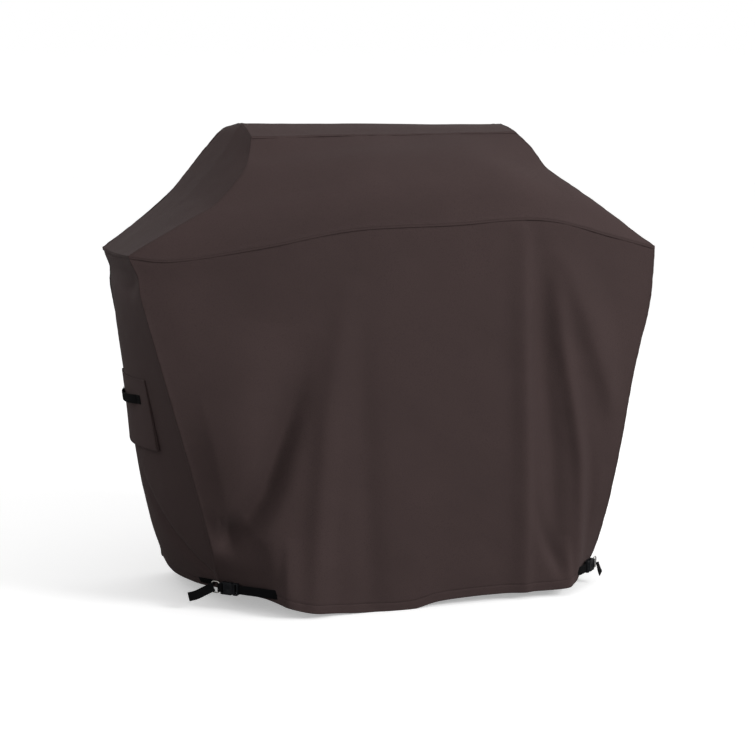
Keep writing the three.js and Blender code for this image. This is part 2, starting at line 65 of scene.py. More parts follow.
# ---------- driving dimensions, in metres ----------
# Heights are given from the hem's general level, SAG above the floor.
HALF_WIDTH = 0.7365
HEIGHT = 1.292
SAG = 0.022  # how far the long hems hang lower in their middles
RIM_X = 0.377  # half the top panel's length
RIM_RISE = 0.014  # the top panel's front edge is this much higher at its right end
CLOTH = 0.0011  # thickness of the cloth
LAP = 0.008  # how far a seam's upper panel lies over its neighbour
LAP_LIFT = 0.0011  # how far that lap stands off
HEM_WIDTH = 0.025
HEM_FOLD = 0.0032  # thickness of the folded hem
STITCH = {"length": 0.0038, "gap": 0.0016, "radius": 0.00042}
SEAM_ROWS = (0.0022, -0.0045)  # rows of stitches, measured past the seam's line
SEAM_END = 0.004  # from a row's end to the panel's corner
RIPPLES = ((0.0011, 0.110), (0.0005, 0.042))  # height and size of the loose cloth's swells
PUCKER = {"height": 0.0006, "size": 0.011, "by_hem": 0.010, "by_seam": 0.014}
HEM_GROOVE = (0.0008, 0.0022)  # depth and width of the line that the stitches draw in
SEAM_GROOVE = (0.0005, 0.0015)
UNDER_LAP = 0.0007  # how far a panel's edge lies lower under its neighbour
GRID_STEP = 0.008
FLAP_STEP = 0.006
WEBBING_WIDTH = 0.025
WEBBING = 0.0016
SELVEDGE = 0.12 * WEBBING  # half the thickness at the webbing's edges
STRAP_Z = 0.040
VENT = {"width": 0.120, "height": 0.090, "z": 0.500}
FLAP = {"width": 0.290, "top": 0.612, "bottom": 0.420, "lift": 0.007, "thickness": 0.003}
HANDLE = {"span": 0.150, "bow": 0.013, "tab": 0.022, "z": 0.555}
STAND_OFF = 0.0025  # from the cloth to what lies on it
# A side-release buckle, measured along the strap from the middle of the ring before it.
BUCKLE = {"width": 0.034, "thickness": 0.011, "start": 0.017, "mouth": 0.055, "end": 0.072}
BAR = {"thickness": 0.0044, "slot": 0.0055, "reach": 0.027}
CAVITY = {"height": 0.0272, "thickness": 0.0062, "back": 0.0315, "length": 0.0245}
WINDOW = (0.0375, 0.0505)
PRONG = {"length": 0.022, "width": 0.004, "thickness": 0.005, "z": 0.0095, "pad": 0.0036}
GUIDE = {"tip": 0.036, "width": 0.006, "thickness": 0.004}
RING = {"width": 0.026, "height": 0.034, "wire": 0.0034, "corner": 0.006}
STRAPS = {
    "left": {"at": (-0.499, -0.149, STRAP_Z), "heading": -43.3, "out": -1},
    "right": {"at": (0.604, -0.192, STRAP_Z), "heading": -132.8, "out": 1},
}
SIDES = ("front", "rear", "left", "right")
OUTWARD = {"front": (0, -1, 0), "right": (1, 0, 0), "rear": (0, 1, 0), "left": (-1, 0, 0)}


# ---------- curves ----------
def spline(points, steps=48):
    """A centripetal Catmull-Rom curve through points, as close-set points."""
    p = np.array(points, float)
    p = np.vstack([2 * p[:1] - p[1:2], p, 2 * p[-1:] - p[-2:-1]])
    pieces = []
    for a, b, c, d in zip(p, p[1:], p[2:], p[3:]):
        knots = np.cumsum([0] + [max(np.linalg.norm(v[:3] - u[:3]), 1e-6) ** 0.5
                                 for u, v in ((a, b), (b, c), (c, d))])
        k = np.linspace(knots[1], knots[2], steps, endpoint=False)[:, None]

        def between(u, v, i, j):
            return ((knots[j] - k) * u + (k - knots[i]) * v) / (knots[j] - knots[i])

        ab, bc, cd = between(a, b, 0, 1), between(b, c, 1, 2), between(c, d, 2, 3)
        pieces.append(between(between(ab, bc, 0, 2), between(bc, cd, 1, 3), 1, 2))
    return np.vstack([*pieces, p[-2:-1]])


class Path:
    """A line through close-set points, sampled by its share of the length."""

    def __init__(self, dense):
        self.dense = np.array(dense, float)
        steps = np.linalg.norm(np.diff(self.dense, axis=0), axis=1)
        self.at = np.concatenate([[0], np.cumsum(steps)])
        self.length = self.at[-1]

    def __call__(self, s):
        where = np.clip(s, 0, 1) * self.length
        return np.stack([np.interp(where, self.at, axis) for axis in self.dense.T], -1)


def curve(*points):
    return Path(spline(points))


def mix(a, b, t):
    return a + (b - a) * t


def smoothstep(x, low, high):
    t = np.clip((x - low) / (high - low), 0, 1)
    return t * t * (3 - 2 * t)


def unit(v):
    return v / np.maximum(np.linalg.norm(v, axis=-1, keepdims=True), 1e-12)


def ripple(u, v, size, seed):
    """Smooth noise from -1 to 1 over the plane (u, v), with lumps of about the given size."""
    table = np.random.default_rng(seed).uniform(-1, 1, (64, 64))
    x, y = np.broadcast_arrays(u / size, v / size)
    i, j = np.floor(x).astype(int), np.floor(y).astype(int)
    fx, fy = smoothstep(x - i, 0, 1), smoothstep(y - j, 0, 1)
    corner = lambda di, dj: table[(i + di) % 64, (j + dj) % 64]
    low = mix(corner(0, 0), corner(1, 0), fx)
    high = mix(corner(0, 1), corner(1, 1), fx)
    return mix(low, high, fy)


# ---------- the outline of the draped cover ----------
RIM = {"front": (-0.106, 1.256), "rear": (0.115, 1.289)}  # y and z of the top panel's edges
FRONT_CORNER = (-0.264, 0.953)
REAR_CORNER = (0.264, 0.945)
REAR_X = 0.730

RIDGES = {
    "front_left": curve(
        (-RIM_X, *RIM["front"]), (-0.392, -0.142, 1.207), (-0.416, -0.185, 1.167),
        (-0.505, -0.226, 1.079), (-0.556, -0.240, 1.051), (-0.664, -0.257, 0.994),
        (-HALF_WIDTH, *FRONT_CORNER),
    ),
    "front_right": curve(
        (RIM_X, RIM["front"][0], RIM["front"][1] + RIM_RISE), (0.412, -0.145, 1.225),
        (0.443, -0.182, 1.170), (0.529, -0.213, 1.106), (0.613, -0.235, 1.045),
        (0.686, -0.251, 0.989), (HALF_WIDTH, *FRONT_CORNER),
    ),
    "rear_right": curve(
        (RIM_X, *RIM["rear"]), (0.452, 0.165, 1.222), (0.540, 0.202, 1.108),
        (0.640, 0.238, 1.018), (REAR_X, *REAR_CORNER),
    ),
    "rear_left": curve(
        (-RIM_X, *RIM["rear"]), (-0.405, 0.126, 1.279), (-0.452, 0.157, 1.224),
        (-0.509, 0.188, 1.147), (-0.541, 0.202, 1.106), (-0.602, 0.224, 1.049),
        (-0.688, 0.251, 0.977), (-REAR_X, *REAR_CORNER),
    ),
}
WAIST = {
    "front": curve(
        (-HALF_WIDTH, *FRONT_CORNER), (-0.640, -0.276, 0.943), (-0.400, -0.296, 0.974),
        (-0.155, -0.306, 1.017), (0.120, -0.308, 1.028), (0.385, -0.306, 1.038),
        (0.600, -0.282, 0.988), (HALF_WIDTH, *FRONT_CORNER),
    ),
    "right": curve((HALF_WIDTH, *FRONT_CORNER), (HALF_WIDTH, 0, 0.946), (REAR_X, *REAR_CORNER)),
    "rear": curve(
        (REAR_X, *REAR_CORNER), (0.560, 0.286, 0.962), (0.280, 0.302, 1.012), (0, 0.305, 1.020),
        (-0.280, 0.302, 1.012), (-0.560, 0.286, 0.962), (-REAR_X, *REAR_CORNER),
    ),
    "left": curve((-REAR_X, *REAR_CORNER), (-HALF_WIDTH, 0, 0.946), (-HALF_WIDTH, *FRONT_CORNER)),
}
HEM = {
    "front": curve(
        (-0.482, -0.118, 0.026), (-0.430, -0.178, 0.022), (-0.380, -0.232, 0.018),
        (-0.345, -0.288, 0.012), (-0.285, -0.312, -0.004), (-0.180, -0.311, -0.017),
        (-0.090, -0.309, -SAG - 0.001), (0.015, -0.308, -SAG - 0.001), (0.085, -0.302, -0.009),
        (0.190, -0.298, -0.003), (0.300, -0.297, -0.002), (0.440, -0.300, -0.001),
        (0.494, -0.294, 0.007), (0.541, -0.234, 0.020), (0.590, -0.170, 0.028),
    ),
    "right": curve(
        (0.590, -0.170, 0.028), (0.622, -0.060, 0.018), (0.638, 0.080, 0.014),
        (0.622, 0.210, 0.018), (0.592, 0.290, 0.030),
    ),
    "rear": curve(
        (0.592, 0.290, 0.030), (0.440, 0.310, 0.010), (0.210, 0.321, -SAG), (0, 0.318, -SAG),
        (-0.210, 0.321, -SAG), (-0.440, 0.310, 0.010), (-0.572, 0.290, 0.030),
    ),
    "left": curve(
        (-0.572, 0.290, 0.030), (-0.568, 0.210, 0.018), (-0.558, 0.110, 0.014),
        (-0.526, 0, 0.016), (-0.482, -0.118, 0.026),
    ),
}
BELLY = {"front": 0, "right": 0.024, "rear": 0, "left": 0.058}
FADE = 8  # the ends hang out until just above the hem
TUCK = 6  # the corners turn in late, just above the hem

# Below the shelves' ends the cloth bulges out, or is pinched in, below zero: how far, at what
# share of the fall, and over what share.
HANG = {"left": (-0.009, 0.06, 0.035), "right": (0.015, 0.17, 0.13)}

# Each fold gives its widths, on its left and on its right as it runs down, and the points that it
# follows: the place along the side, the height and how far it stands out.
FOLDS = {
    "front": [
        # the deep tuck above the left cinched corner, and the belly that hangs over it
        ((0.048, 0.032), (-0.262, 0.740, 0), (-0.290, 0.620, -0.012), (-0.324, 0.503, -0.034),
         (-0.352, 0.410, -0.046), (-0.380, 0.318, -0.052), (-0.430, 0.230, -0.046),
         (-0.500, 0.178, -0.028), (-0.560, 0.200, 0)),
        ((0.100, 0.090), (-0.400, 0.780, 0), (-0.440, 0.600, 0.020), (-0.475, 0.460, 0.032),
         (-0.495, 0.320, 0.014), (-0.505, 0.220, 0)),
        ((0.060, 0.060), (-0.420, 0.220, 0), (-0.480, 0.180, -0.022), (-0.545, 0.190, -0.020),
         (-0.600, 0.250, 0)),
        # the small fold in the hem that the left strap passes under
        ((0.010, 0.050), (-0.330, 0.200, 0), (-0.335, 0.120, 0.010), (-0.339, 0.050, 0.019),
         (-0.338, -0.010, 0.019)),
        # the long ridge to the right of it
        ((0.032, 0.045), (-0.150, 0.900, 0), (-0.180, 0.740, 0.008), (-0.215, 0.560, 0.014),
         (-0.238, 0.345, 0.018), (-0.257, 0.088, 0.018), (-0.262, 0, 0.014)),
        ((0.038, 0.038), (-0.134, 0.853, 0), (-0.122, 0.500, -0.007), (-0.107, 0.129, -0.008),
         (-0.105, 0, -0.006)),
        # the folds under the right end of the fire box
        ((0.036, 0.018), (0.330, 0.995, 0.004), (0.336, 0.700, 0.014), (0.344, 0.300, 0.016),
         (0.346, 0, 0.010)),
        ((0.034, 0.034), (0.378, 0.950, -0.004), (0.386, 0.780, -0.015), (0.400, 0.600, -0.018),
         (0.424, 0.400, -0.018), (0.438, 0.150, -0.014), (0.456, 0.060, -0.006),
         (0.474, 0.010, 0)),
        ((0.022, 0.024), (0.425, 0.858, 0.004), (0.452, 0.680, 0.012), (0.488, 0.500, 0.015),
         (0.514, 0.330, 0.017), (0.520, 0.150, 0.015), (0.515, 0.040, 0.004)),
        ((0.014, 0.024), (0.378, 0.270, 0), (0.392, 0.190, -0.008), (0.422, 0.110, -0.012),
         (0.452, 0.050, -0.005), (0.468, 0.010, 0)),
        # the small fold in the hem that the right strap passes under
        ((0.045, 0.011), (0.470, 0.150, 0), (0.475, 0.090, 0.008), (0.479, 0.040, 0.013),
         (0.480, -0.010, 0.013)),
        ((0.034, 0.050), (0.436, 0.970, 0), (0.480, 0.850, 0.012), (0.545, 0.690, 0.018),
         (0.604, 0.536, 0.014), (0.640, 0.430, 0)),
        ((0.030, 0.030), (0.539, 0.440, 0), (0.540, 0.300, -0.010), (0.538, 0.160, -0.010),
         (0.530, 0.060, 0)),
    ],
    "rear": [
        ((0.060, 0.045), (-0.330, 0.960, 0), (-0.340, 0.500, 0.006), (-0.345, 0, 0.008)),
        ((0.070, 0.050), (0.060, 0.980, 0), (0.050, 0.500, 0.005), (0.040, 0, 0.008)),
        ((0.045, 0.055), (0.330, 0.960, 0), (0.315, 0.500, 0.006), (0.300, 0, 0.008)),
        ((0.050, 0.060), (-0.560, 0.930, 0), (-0.520, 0.600, 0.008), (-0.470, 0.250, 0.010),
         (-0.440, 0.020, 0.004)),
        ((0.060, 0.050), (0.580, 0.930, 0), (0.540, 0.600, 0.008), (0.490, 0.250, 0.010),
         (0.450, 0.020, 0.004)),
    ],
    "left": [
        ((0.018, 0.024), (0.060, 0.870, 0), (-0.060, 0.856, -0.005), (-0.165, 0.862, -0.008),
         (-0.240, 0.890, -0.002)),
        ((0.014, 0.024), (0.030, 0.360, 0), (-0.050, 0.210, -0.013), (-0.110, 0.110, -0.016),
         (-0.150, 0.050, -0.006)),
    ],
    "right": [
        ((0.020, 0.026), (0.060, 0.870, 0), (-0.060, 0.850, -0.005), (-0.165, 0.850, -0.006),
         (-0.240, 0.880, 0)),
        ((0.016, 0.024), (0.000, 0.300, 0), (-0.070, 0.190, -0.006), (-0.130, 0.100, -0.008),
         (-0.170, 0.050, -0.003)),
    ],
}


def fold_offset(fold, across, height):
    """How far a fold moves each point (across, height) outward."""
    widths, *points = fold
    run = spline(points, 8)
    step = np.diff(run, axis=0)
    away = np.stack([across, height], -1)[..., None, :] - run[:-1, :2]
    share = np.clip((away * step[:, :2]).sum(-1) / (step[:, :2] ** 2).sum(-1), 0, 1)
    apart = away - share[..., None] * step[:, :2]
    squared = (apart ** 2).sum(-1)
    nearest = squared.argmin(-1)[..., None]

    def at_nearest(values):
        return np.take_along_axis(values, nearest, -1)[..., 0]

    side = at_nearest(step[:, 0] * apart[..., 1] - step[:, 1] * apart[..., 0])
    depth = at_nearest(run[:-1, 2] + share * step[:, 2])
    width = np.where(side < 0, *widths)
    return depth * np.exp(-np.minimum(at_nearest(squared) / width ** 2, 30))


def hang(x, t):
    """How far the cloth below a shelf's end moves to the right."""
    numbers = np.where(x[..., None] < 0, HANG["left"], HANG["right"])
    depth, middle, width = np.moveaxis(numbers, -1, 0)
    near_end = smoothstep(np.abs(x), 0.35, 0.70)
    return np.sign(x) * depth * np.exp(-((t - middle) / width) ** 2) * near_end


def skirt(side):
    """A skirt's outer face: s runs from left to right from outside, and t from waist to hem."""
    top, bottom = WAIST[side], HEM[side]

    def surface(s, t):
        s, t = np.broadcast_arrays(np.asarray(s, float), np.asarray(t, float))
        upper, lower = top(s), bottom(s)
        p = mix(upper, lower, t[..., None])
        p[..., 1] = mix(upper[..., 1], lower[..., 1], t ** TUCK)
        middle = np.sin(np.pi * np.clip(s, 0, 1))
        out = BELLY[side] * middle * (1 - (1 - t) ** 2) * (1 - t ** FADE)
        across = p[..., 0] if side in ("front", "rear") else p[..., 1]
        folds = sum(fold_offset(fold, across, p[..., 2]) for fold in FOLDS[side])
        out = out + folds * np.minimum(1, 5 * middle)
        p = p + out[..., None] * np.array(OUTWARD[side])
        p[..., 0] = np.clip(p[..., 0] + hang(p[..., 0], t), -HALF_WIDTH, HALF_WIDTH)
        p[..., 2] = np.maximum(p[..., 2], -SAG)
        return p

    return surface


def coons(top, bottom, left, right, crown):
    """A surface that fills four boundary curves and stands out in its middle by crown."""

    def surface(s, t):
        s, t = np.broadcast_arrays(np.asarray(s, float), np.asarray(t, float))
        u, v = s[..., None], t[..., None]
        corners = mix(mix(top(0), top(1), u), mix(bottom(0), bottom(1), u), v)
        middle = np.clip(np.sin(np.pi * u), 0, 1) ** 0.6 * np.sin(np.pi * v)
        return (mix(top(s), bottom(s), v) + mix(left(t), right(t), u) - corners
                + middle * np.array(crown))

    return surface


CREST = Path([(0, *RIM["rear"]), (0, 0.075, HEIGHT), (0, 0.005, HEIGHT), (0, -0.050, 1.276),
              (0, *RIM["front"])])


def top_surface(s, t):
    """The top panel: its crest's profile, whose front edge rises towards the right."""
    s, t = np.broadcast_arrays(s, t)
    p = CREST(t)
    forward = np.clip((0.005 - p[..., 1]) / (0.005 - RIM["front"][0]), 0, 1)
    p[..., 0] = mix(-RIM_X, RIM_X, s)
    p[..., 2] += RIM_RISE * forward * s
    return p


def left_rim(s):
    """The top panel's left end, from the rear to the front."""
    return top_surface(0, s)


def right_rim(s):
    """The top panel's right end, from the front to the rear."""
    return top_surface(1, 1 - np.asarray(s, float))


SKIRT = {side: skirt(side) for side in SIDES}
HOOD = {
    "front": coons(lambda s: top_surface(s, 1), WAIST["front"],
                   RIDGES["front_left"], RIDGES["front_right"], (0, -0.030, 0.026)),
    "rear": coons(lambda s: top_surface(1 - np.asarray(s, float), 0), WAIST["rear"],
                  RIDGES["rear_right"], RIDGES["rear_left"], (0, 0.034, 0.012)),
    "left": coons(left_rim, WAIST["left"],
                  RIDGES["rear_left"], RIDGES["front_left"], (0, 0, 0.004)),
    "right": coons(right_rim, WAIST["right"],
                   RIDGES["front_right"], RIDGES["rear_right"], (0, 0, 0.004)),
}


def from_edge(surface, edge):
    """A function for the points at places along a surface's edge, some metres in."""
    start, step = (1, -1) if edge == "right" else (0, 1)

    def at(place, depth):
        return surface(place, depth) if edge == "top" else surface(start + step * depth, place)

    def inward(place, metres):
        speed = np.linalg.norm(at(place, 0.01) - at(place, 0), axis=-1) / 0.01
        return at(place, metres / speed)

    return inward


def reversed_edge(inward):
    return lambda place, metres: inward(1 - place, metres)


# ---------- materials ----------
def new_material(name, colour, roughness, **sockets):
    material = bpy.data.materials.new(name)
    material.use_nodes = True
    material.diffuse_color = (*colour, 1)
    shader = material.node_tree.nodes["Principled BSDF"]
    shader.inputs["Base Color"].default_value = (*colour, 1)
    shader.inputs["Roughness"].default_value = roughness
    for socket, value in sockets.items():
        shader.inputs[socket.replace("_", " ")].default_value = value
    return material, material.node_tree, shader


def link(tree, kind, inputs, **settings):
    """A new node with some inputs set or linked: inputs maps a socket to a value or a socket."""
    node = tree.nodes.new(kind)
    for setting, value in settings.items():
        setattr(node, setting, value)
    for socket, value in inputs.items():
        if isinstance(value, bpy.types.NodeSocket):
            tree.links.new(value, node.inputs[socket])
        else:
            node.inputs[socket].default_value = value
    return node


def maths(tree, operation, a, b=0.0):
    return link(tree, "ShaderNodeMath", {0: a, 1: b}, operation=operation).outputs[0]


def noise(tree, vector, scale, detail=3.0, roughness=0.5):
    inputs = {"Vector": vector, "Scale": scale, "Detail": detail, "Roughness": roughness}
    return link(tree, "ShaderNodeTexNoise", inputs).outputs["Fac"]


def ramp(tree, factor, dark, light, low=0.3, high=0.7):
    """Blends two colours as the factor goes from low to high."""
    share = link(tree, "ShaderNodeMapRange", {0: factor, 1: low, 2: high}).outputs[0]
    blend = tree.nodes.new("ShaderNodeMix")
    blend.data_type = "RGBA"
    tree.links.new(share, blend.inputs["Factor"])
    for socket, colour in (("A", dark), ("B", light)):
        target = [i for i in blend.inputs if i.name == socket and i.type == "RGBA"][0]
        if isinstance(colour, bpy.types.NodeSocket):
            tree.links.new(colour, target)
        else:
            target.default_value = (*colour, 1)
    return [o for o in blend.outputs if o.type == "RGBA"][0]


def bump(tree, shader, height, distance, strength=1.0, under=None):
    inputs = {"Height": height, "Distance": distance, "Strength": strength}
    if under is not None:
        inputs["Normal"] = under
    node = link(tree, "ShaderNodeBump", inputs)
    tree.links.new(node.outputs["Normal"], shader.inputs["Normal"])
    return node.outputs["Normal"]


def scaled(colour, factor):
    return tuple(min(1, c * factor) for c in colour)


def weave_height(tree, uv, pitch):
    """The bumps of a plain weave, whose threads are one pitch apart both ways."""
    axes = link(tree, "ShaderNodeSeparateXYZ", {0: uv}).outputs
    turn = 2 * math.pi / (2 * pitch)
    across, along = (
        maths(tree, "SINE", maths(tree, "MULTIPLY", axes[i], turn)) for i in (0, 1)
    )
    return maths(tree, "MULTIPLY", across, along)


def cloth_material(name, colour, roughness, pitch, relief):
    """Plain-woven cloth with threads one pitch apart, whose bumps are as high as relief."""
    material, tree, shader = new_material(name, colour, roughness, Specular_IOR_Level=0.14)
    shader.inputs["Sheen Weight"].default_value = 0.03
    shader.inputs["Sheen Roughness"].default_value = 0.45
    shader.inputs["Sheen Tint"].default_value = (0.75, 0.62, 0.60, 1)
    coords = tree.nodes.new("ShaderNodeTexCoord").outputs
    broad = noise(tree, coords["Object"], 5.0, 4.0)
    yarn = noise(tree, coords["Object"], 420.0, 2.0)
    tone = ramp(tree, broad, scaled(colour, 0.94), scaled(colour, 1.06))
    speckle = ramp(tree, yarn, scaled(colour, 0.80), tone, 0.25, 0.50)
    tree.links.new(speckle, shader.inputs["Base Color"])
    rough = link(tree, "ShaderNodeMapRange", {0: broad, 3: roughness - 0.05, 4: roughness + 0.05})
    tree.links.new(rough.outputs[0], shader.inputs["Roughness"])
    creases = noise(tree, coords["Object"], 26.0, 5.0, 0.55)
    soft = bump(tree, shader, creases, 0.004, 0.10)
    slubs = maths(tree, "ADD", weave_height(tree, coords["UV"], pitch), yarn)
    bump(tree, shader, slubs, relief, 0.5, soft)
    return material


def webbing_material(name, colour):
    """Ribbed webbing: ribs across the strap in a herringbone, on a fine bump. Its colour has
    painted shade in the ribs' furrows and a painted highlight on their crests.
    """
    material, tree, shader = new_material(name, colour, 0.7, Specular_IOR_Level=0.05)
    coords = tree.nodes.new("ShaderNodeTexCoord").outputs
    axes = link(tree, "ShaderNodeSeparateXYZ", {0: coords["UV"]}).outputs
    slant = maths(tree, "ABSOLUTE", maths(tree, "SUBTRACT", maths(
        tree, "FRACT", maths(tree, "MULTIPLY", axes[1], 160.0)), 0.5))
    run = maths(tree, "ADD", maths(tree, "MULTIPLY", axes[0], 2 * math.pi / 0.0019),
                maths(tree, "MULTIPLY", slant, 5.0))
    ribs = maths(tree, "SINE", run)
    fuzz = noise(tree, coords["Object"], 1500.0, 2.0)
    # painted shade and highlight: the colour is darkened in the ribs' furrows and lightened on
    # their crests, following the ribs' bump
    rib_shade_and_highlight = ramp(tree, ribs, scaled(colour, 0.5), scaled(colour, 1.7), -1.0, 1.0)
    tree.links.new(rib_shade_and_highlight, shader.inputs["Base Color"])
    bump(tree, shader, maths(tree, "ADD", ribs, fuzz), 0.00035, 0.8)
    return material


def plastic_material(name, colour):
    material, tree, shader = new_material(name, colour, 0.34, Specular_IOR_Level=0.2)
    coords = tree.nodes.new("ShaderNodeTexCoord").outputs
    grain = noise(tree, coords["Object"], 1400.0, 3.0)
    scuffs = noise(tree, coords["Object"], 90.0, 6.0, 0.65)
    rough = link(tree, "ShaderNodeMapRange", {0: scuffs, 1: 0.35, 2: 0.75, 3: 0.28, 4: 0.46})
    tree.links.new(rough.outputs[0], shader.inputs["Roughness"])
    tone = ramp(tree, scuffs, scaled(colour, 0.8), scaled(colour, 1.5))
    tree.links.new(tone, shader.inputs["Base Color"])
    bump(tree, shader, grain, 0.00008, 0.6)
    return material


def nickel_material(name, colour):
    material, tree, shader = new_material(name, colour, 0.2, Metallic=1.0)
    coords = tree.nodes.new("ShaderNodeTexCoord").outputs
    scratches = noise(tree, coords["Object"], 700.0, 4.0, 0.7)
    rough = link(tree, "ShaderNodeMapRange", {0: scratches, 1: 0.3, 2: 0.7, 3: 0.14, 4: 0.34})
    tree.links.new(rough.outputs[0], shader.inputs["Roughness"])
    bump(tree, shader, scratches, 0.00004, 0.5)
    return material


COVER_BROWN = (0.055, 0.0365, 0.0355)
MATERIALS = {
    "cloth": cloth_material("brown_polyester", COVER_BROWN, 0.88, 0.0006, 0.00012),
    "backing": cloth_material("coated_back", (0.030, 0.024, 0.023), 0.55, 0.0006, 0.00005),
    "thread": cloth_material("brown_thread", (0.040, 0.028, 0.026), 0.7, 0.0003, 0.0001),
    "mesh": cloth_material("black_mesh", (0.007, 0.007, 0.007), 0.7, 0.0003, 0.0001),
    "webbing": webbing_material("black_webbing", (0.0045, 0.0045, 0.005)),
    "black_thread": webbing_material("black_thread", (0.010, 0.010, 0.011)),
    "plastic": plastic_material("buckle_plastic", (0.006, 0.0065, 0.008)),
    "nickel": nickel_material("nickel_wire", (0.62, 0.60, 0.56)),
}


# ---------- meshes ----------
def mesh_object(name, vertices, faces, materials, uv=None, smooth_angle=180):
    """An object in the scene, from vertices whose heights are from the hem's general level."""
    mesh = bpy.data.meshes.new(name)
    mesh.from_pydata([(x, y, z + SAG) for x, y, z in vertices], [], faces)
    for material in materials:
        mesh.materials.append(MATERIALS[material])
    if uv is not None:
        loops = np.empty(len(mesh.loops), int)
        mesh.loops.foreach_get("vertex_index", loops)
        mesh.uv_layers.new(name="UVMap").data.foreach_set("uv", uv[loops].ravel())
    mesh.polygons.foreach_set("use_smooth", [True] * len(mesh.polygons))
    if smooth_angle < 180:
        mesh.set_sharp_from_angle(angle=math.radians(smooth_angle))
    mesh.update()
    piece = bpy.data.objects.new(name, mesh)
    bpy.context.scene.collection.objects.link(piece)
    return piece


def assign(piece, body, node=None):
    """Rides a piece on a body and says which CAD node it replaces."""
    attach(piece, body)
    if node is not None:
        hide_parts(node)


def grid_faces(rows, cols, closed_rows=False, closed_cols=False):
    """Quads of a grid, facing out where rows run down and columns run to the right."""
    faces = []
    for i in range(rows if closed_rows else rows - 1):
        for j in range(cols if closed_cols else cols - 1):
            below, right = (i + 1) % rows, (j + 1) % cols
            faces.append((i * cols + j, below * cols + j, below * cols + right, i * cols + right))
    return faces


def grid_object(name, points, materials, keep=None, thickness=0.0):
    """A sheet through a grid of points, with UVs in metres. keep says which cells are kept."""
    rows, cols = points.shape[:2]
    across = np.linalg.norm(np.diff(points, axis=1), axis=-1)
    down = np.linalg.norm(np.diff(points, axis=0), axis=-1)
    u = np.concatenate([[0], np.cumsum(across.mean(0))])
    v = np.concatenate([[0], np.cumsum(down.mean(1))])
    uv = np.stack(np.meshgrid(u, -v), -1).reshape(-1, 2)
    faces = grid_faces(rows, cols)
    if keep is not None:
        faces = [face for face, kept in zip(faces, keep.ravel()) if kept]
    piece = mesh_object(name, points.reshape(-1, 3), faces, materials, uv)
    if thickness:
        solid = piece.modifiers.new("thickness", "SOLIDIFY")
        solid.thickness = thickness
        solid.offset = -1
        solid.material_offset = len(materials) - 1
        solid.material_offset_rim = 0
    return piece


def normals_of(points):
    """Outward normals of a grid whose rows run down and columns run to the right."""
    across = np.gradient(points, axis=1)
    upward = -np.gradient(points, axis=0)
    return unit(np.cross(across, upward))


def edge_spaced(length, step, near=(0.0, 0.0012, 0.0030, 0.0055, 0.0090, 0.0135)):
    """Places from 0 to 1 along a length, close together at both ends."""
    near = np.array(near) / length
    inner = np.linspace(near[-1], 1 - near[-1], max(2, round(length / step)))
    return np.concatenate([near[:-1], inner, 1 - near[:-1][::-1]])


EXTENSION = np.array([0.002, 0.004, 0.006, LAP])  # a lap's grid lines, past the panel's edge


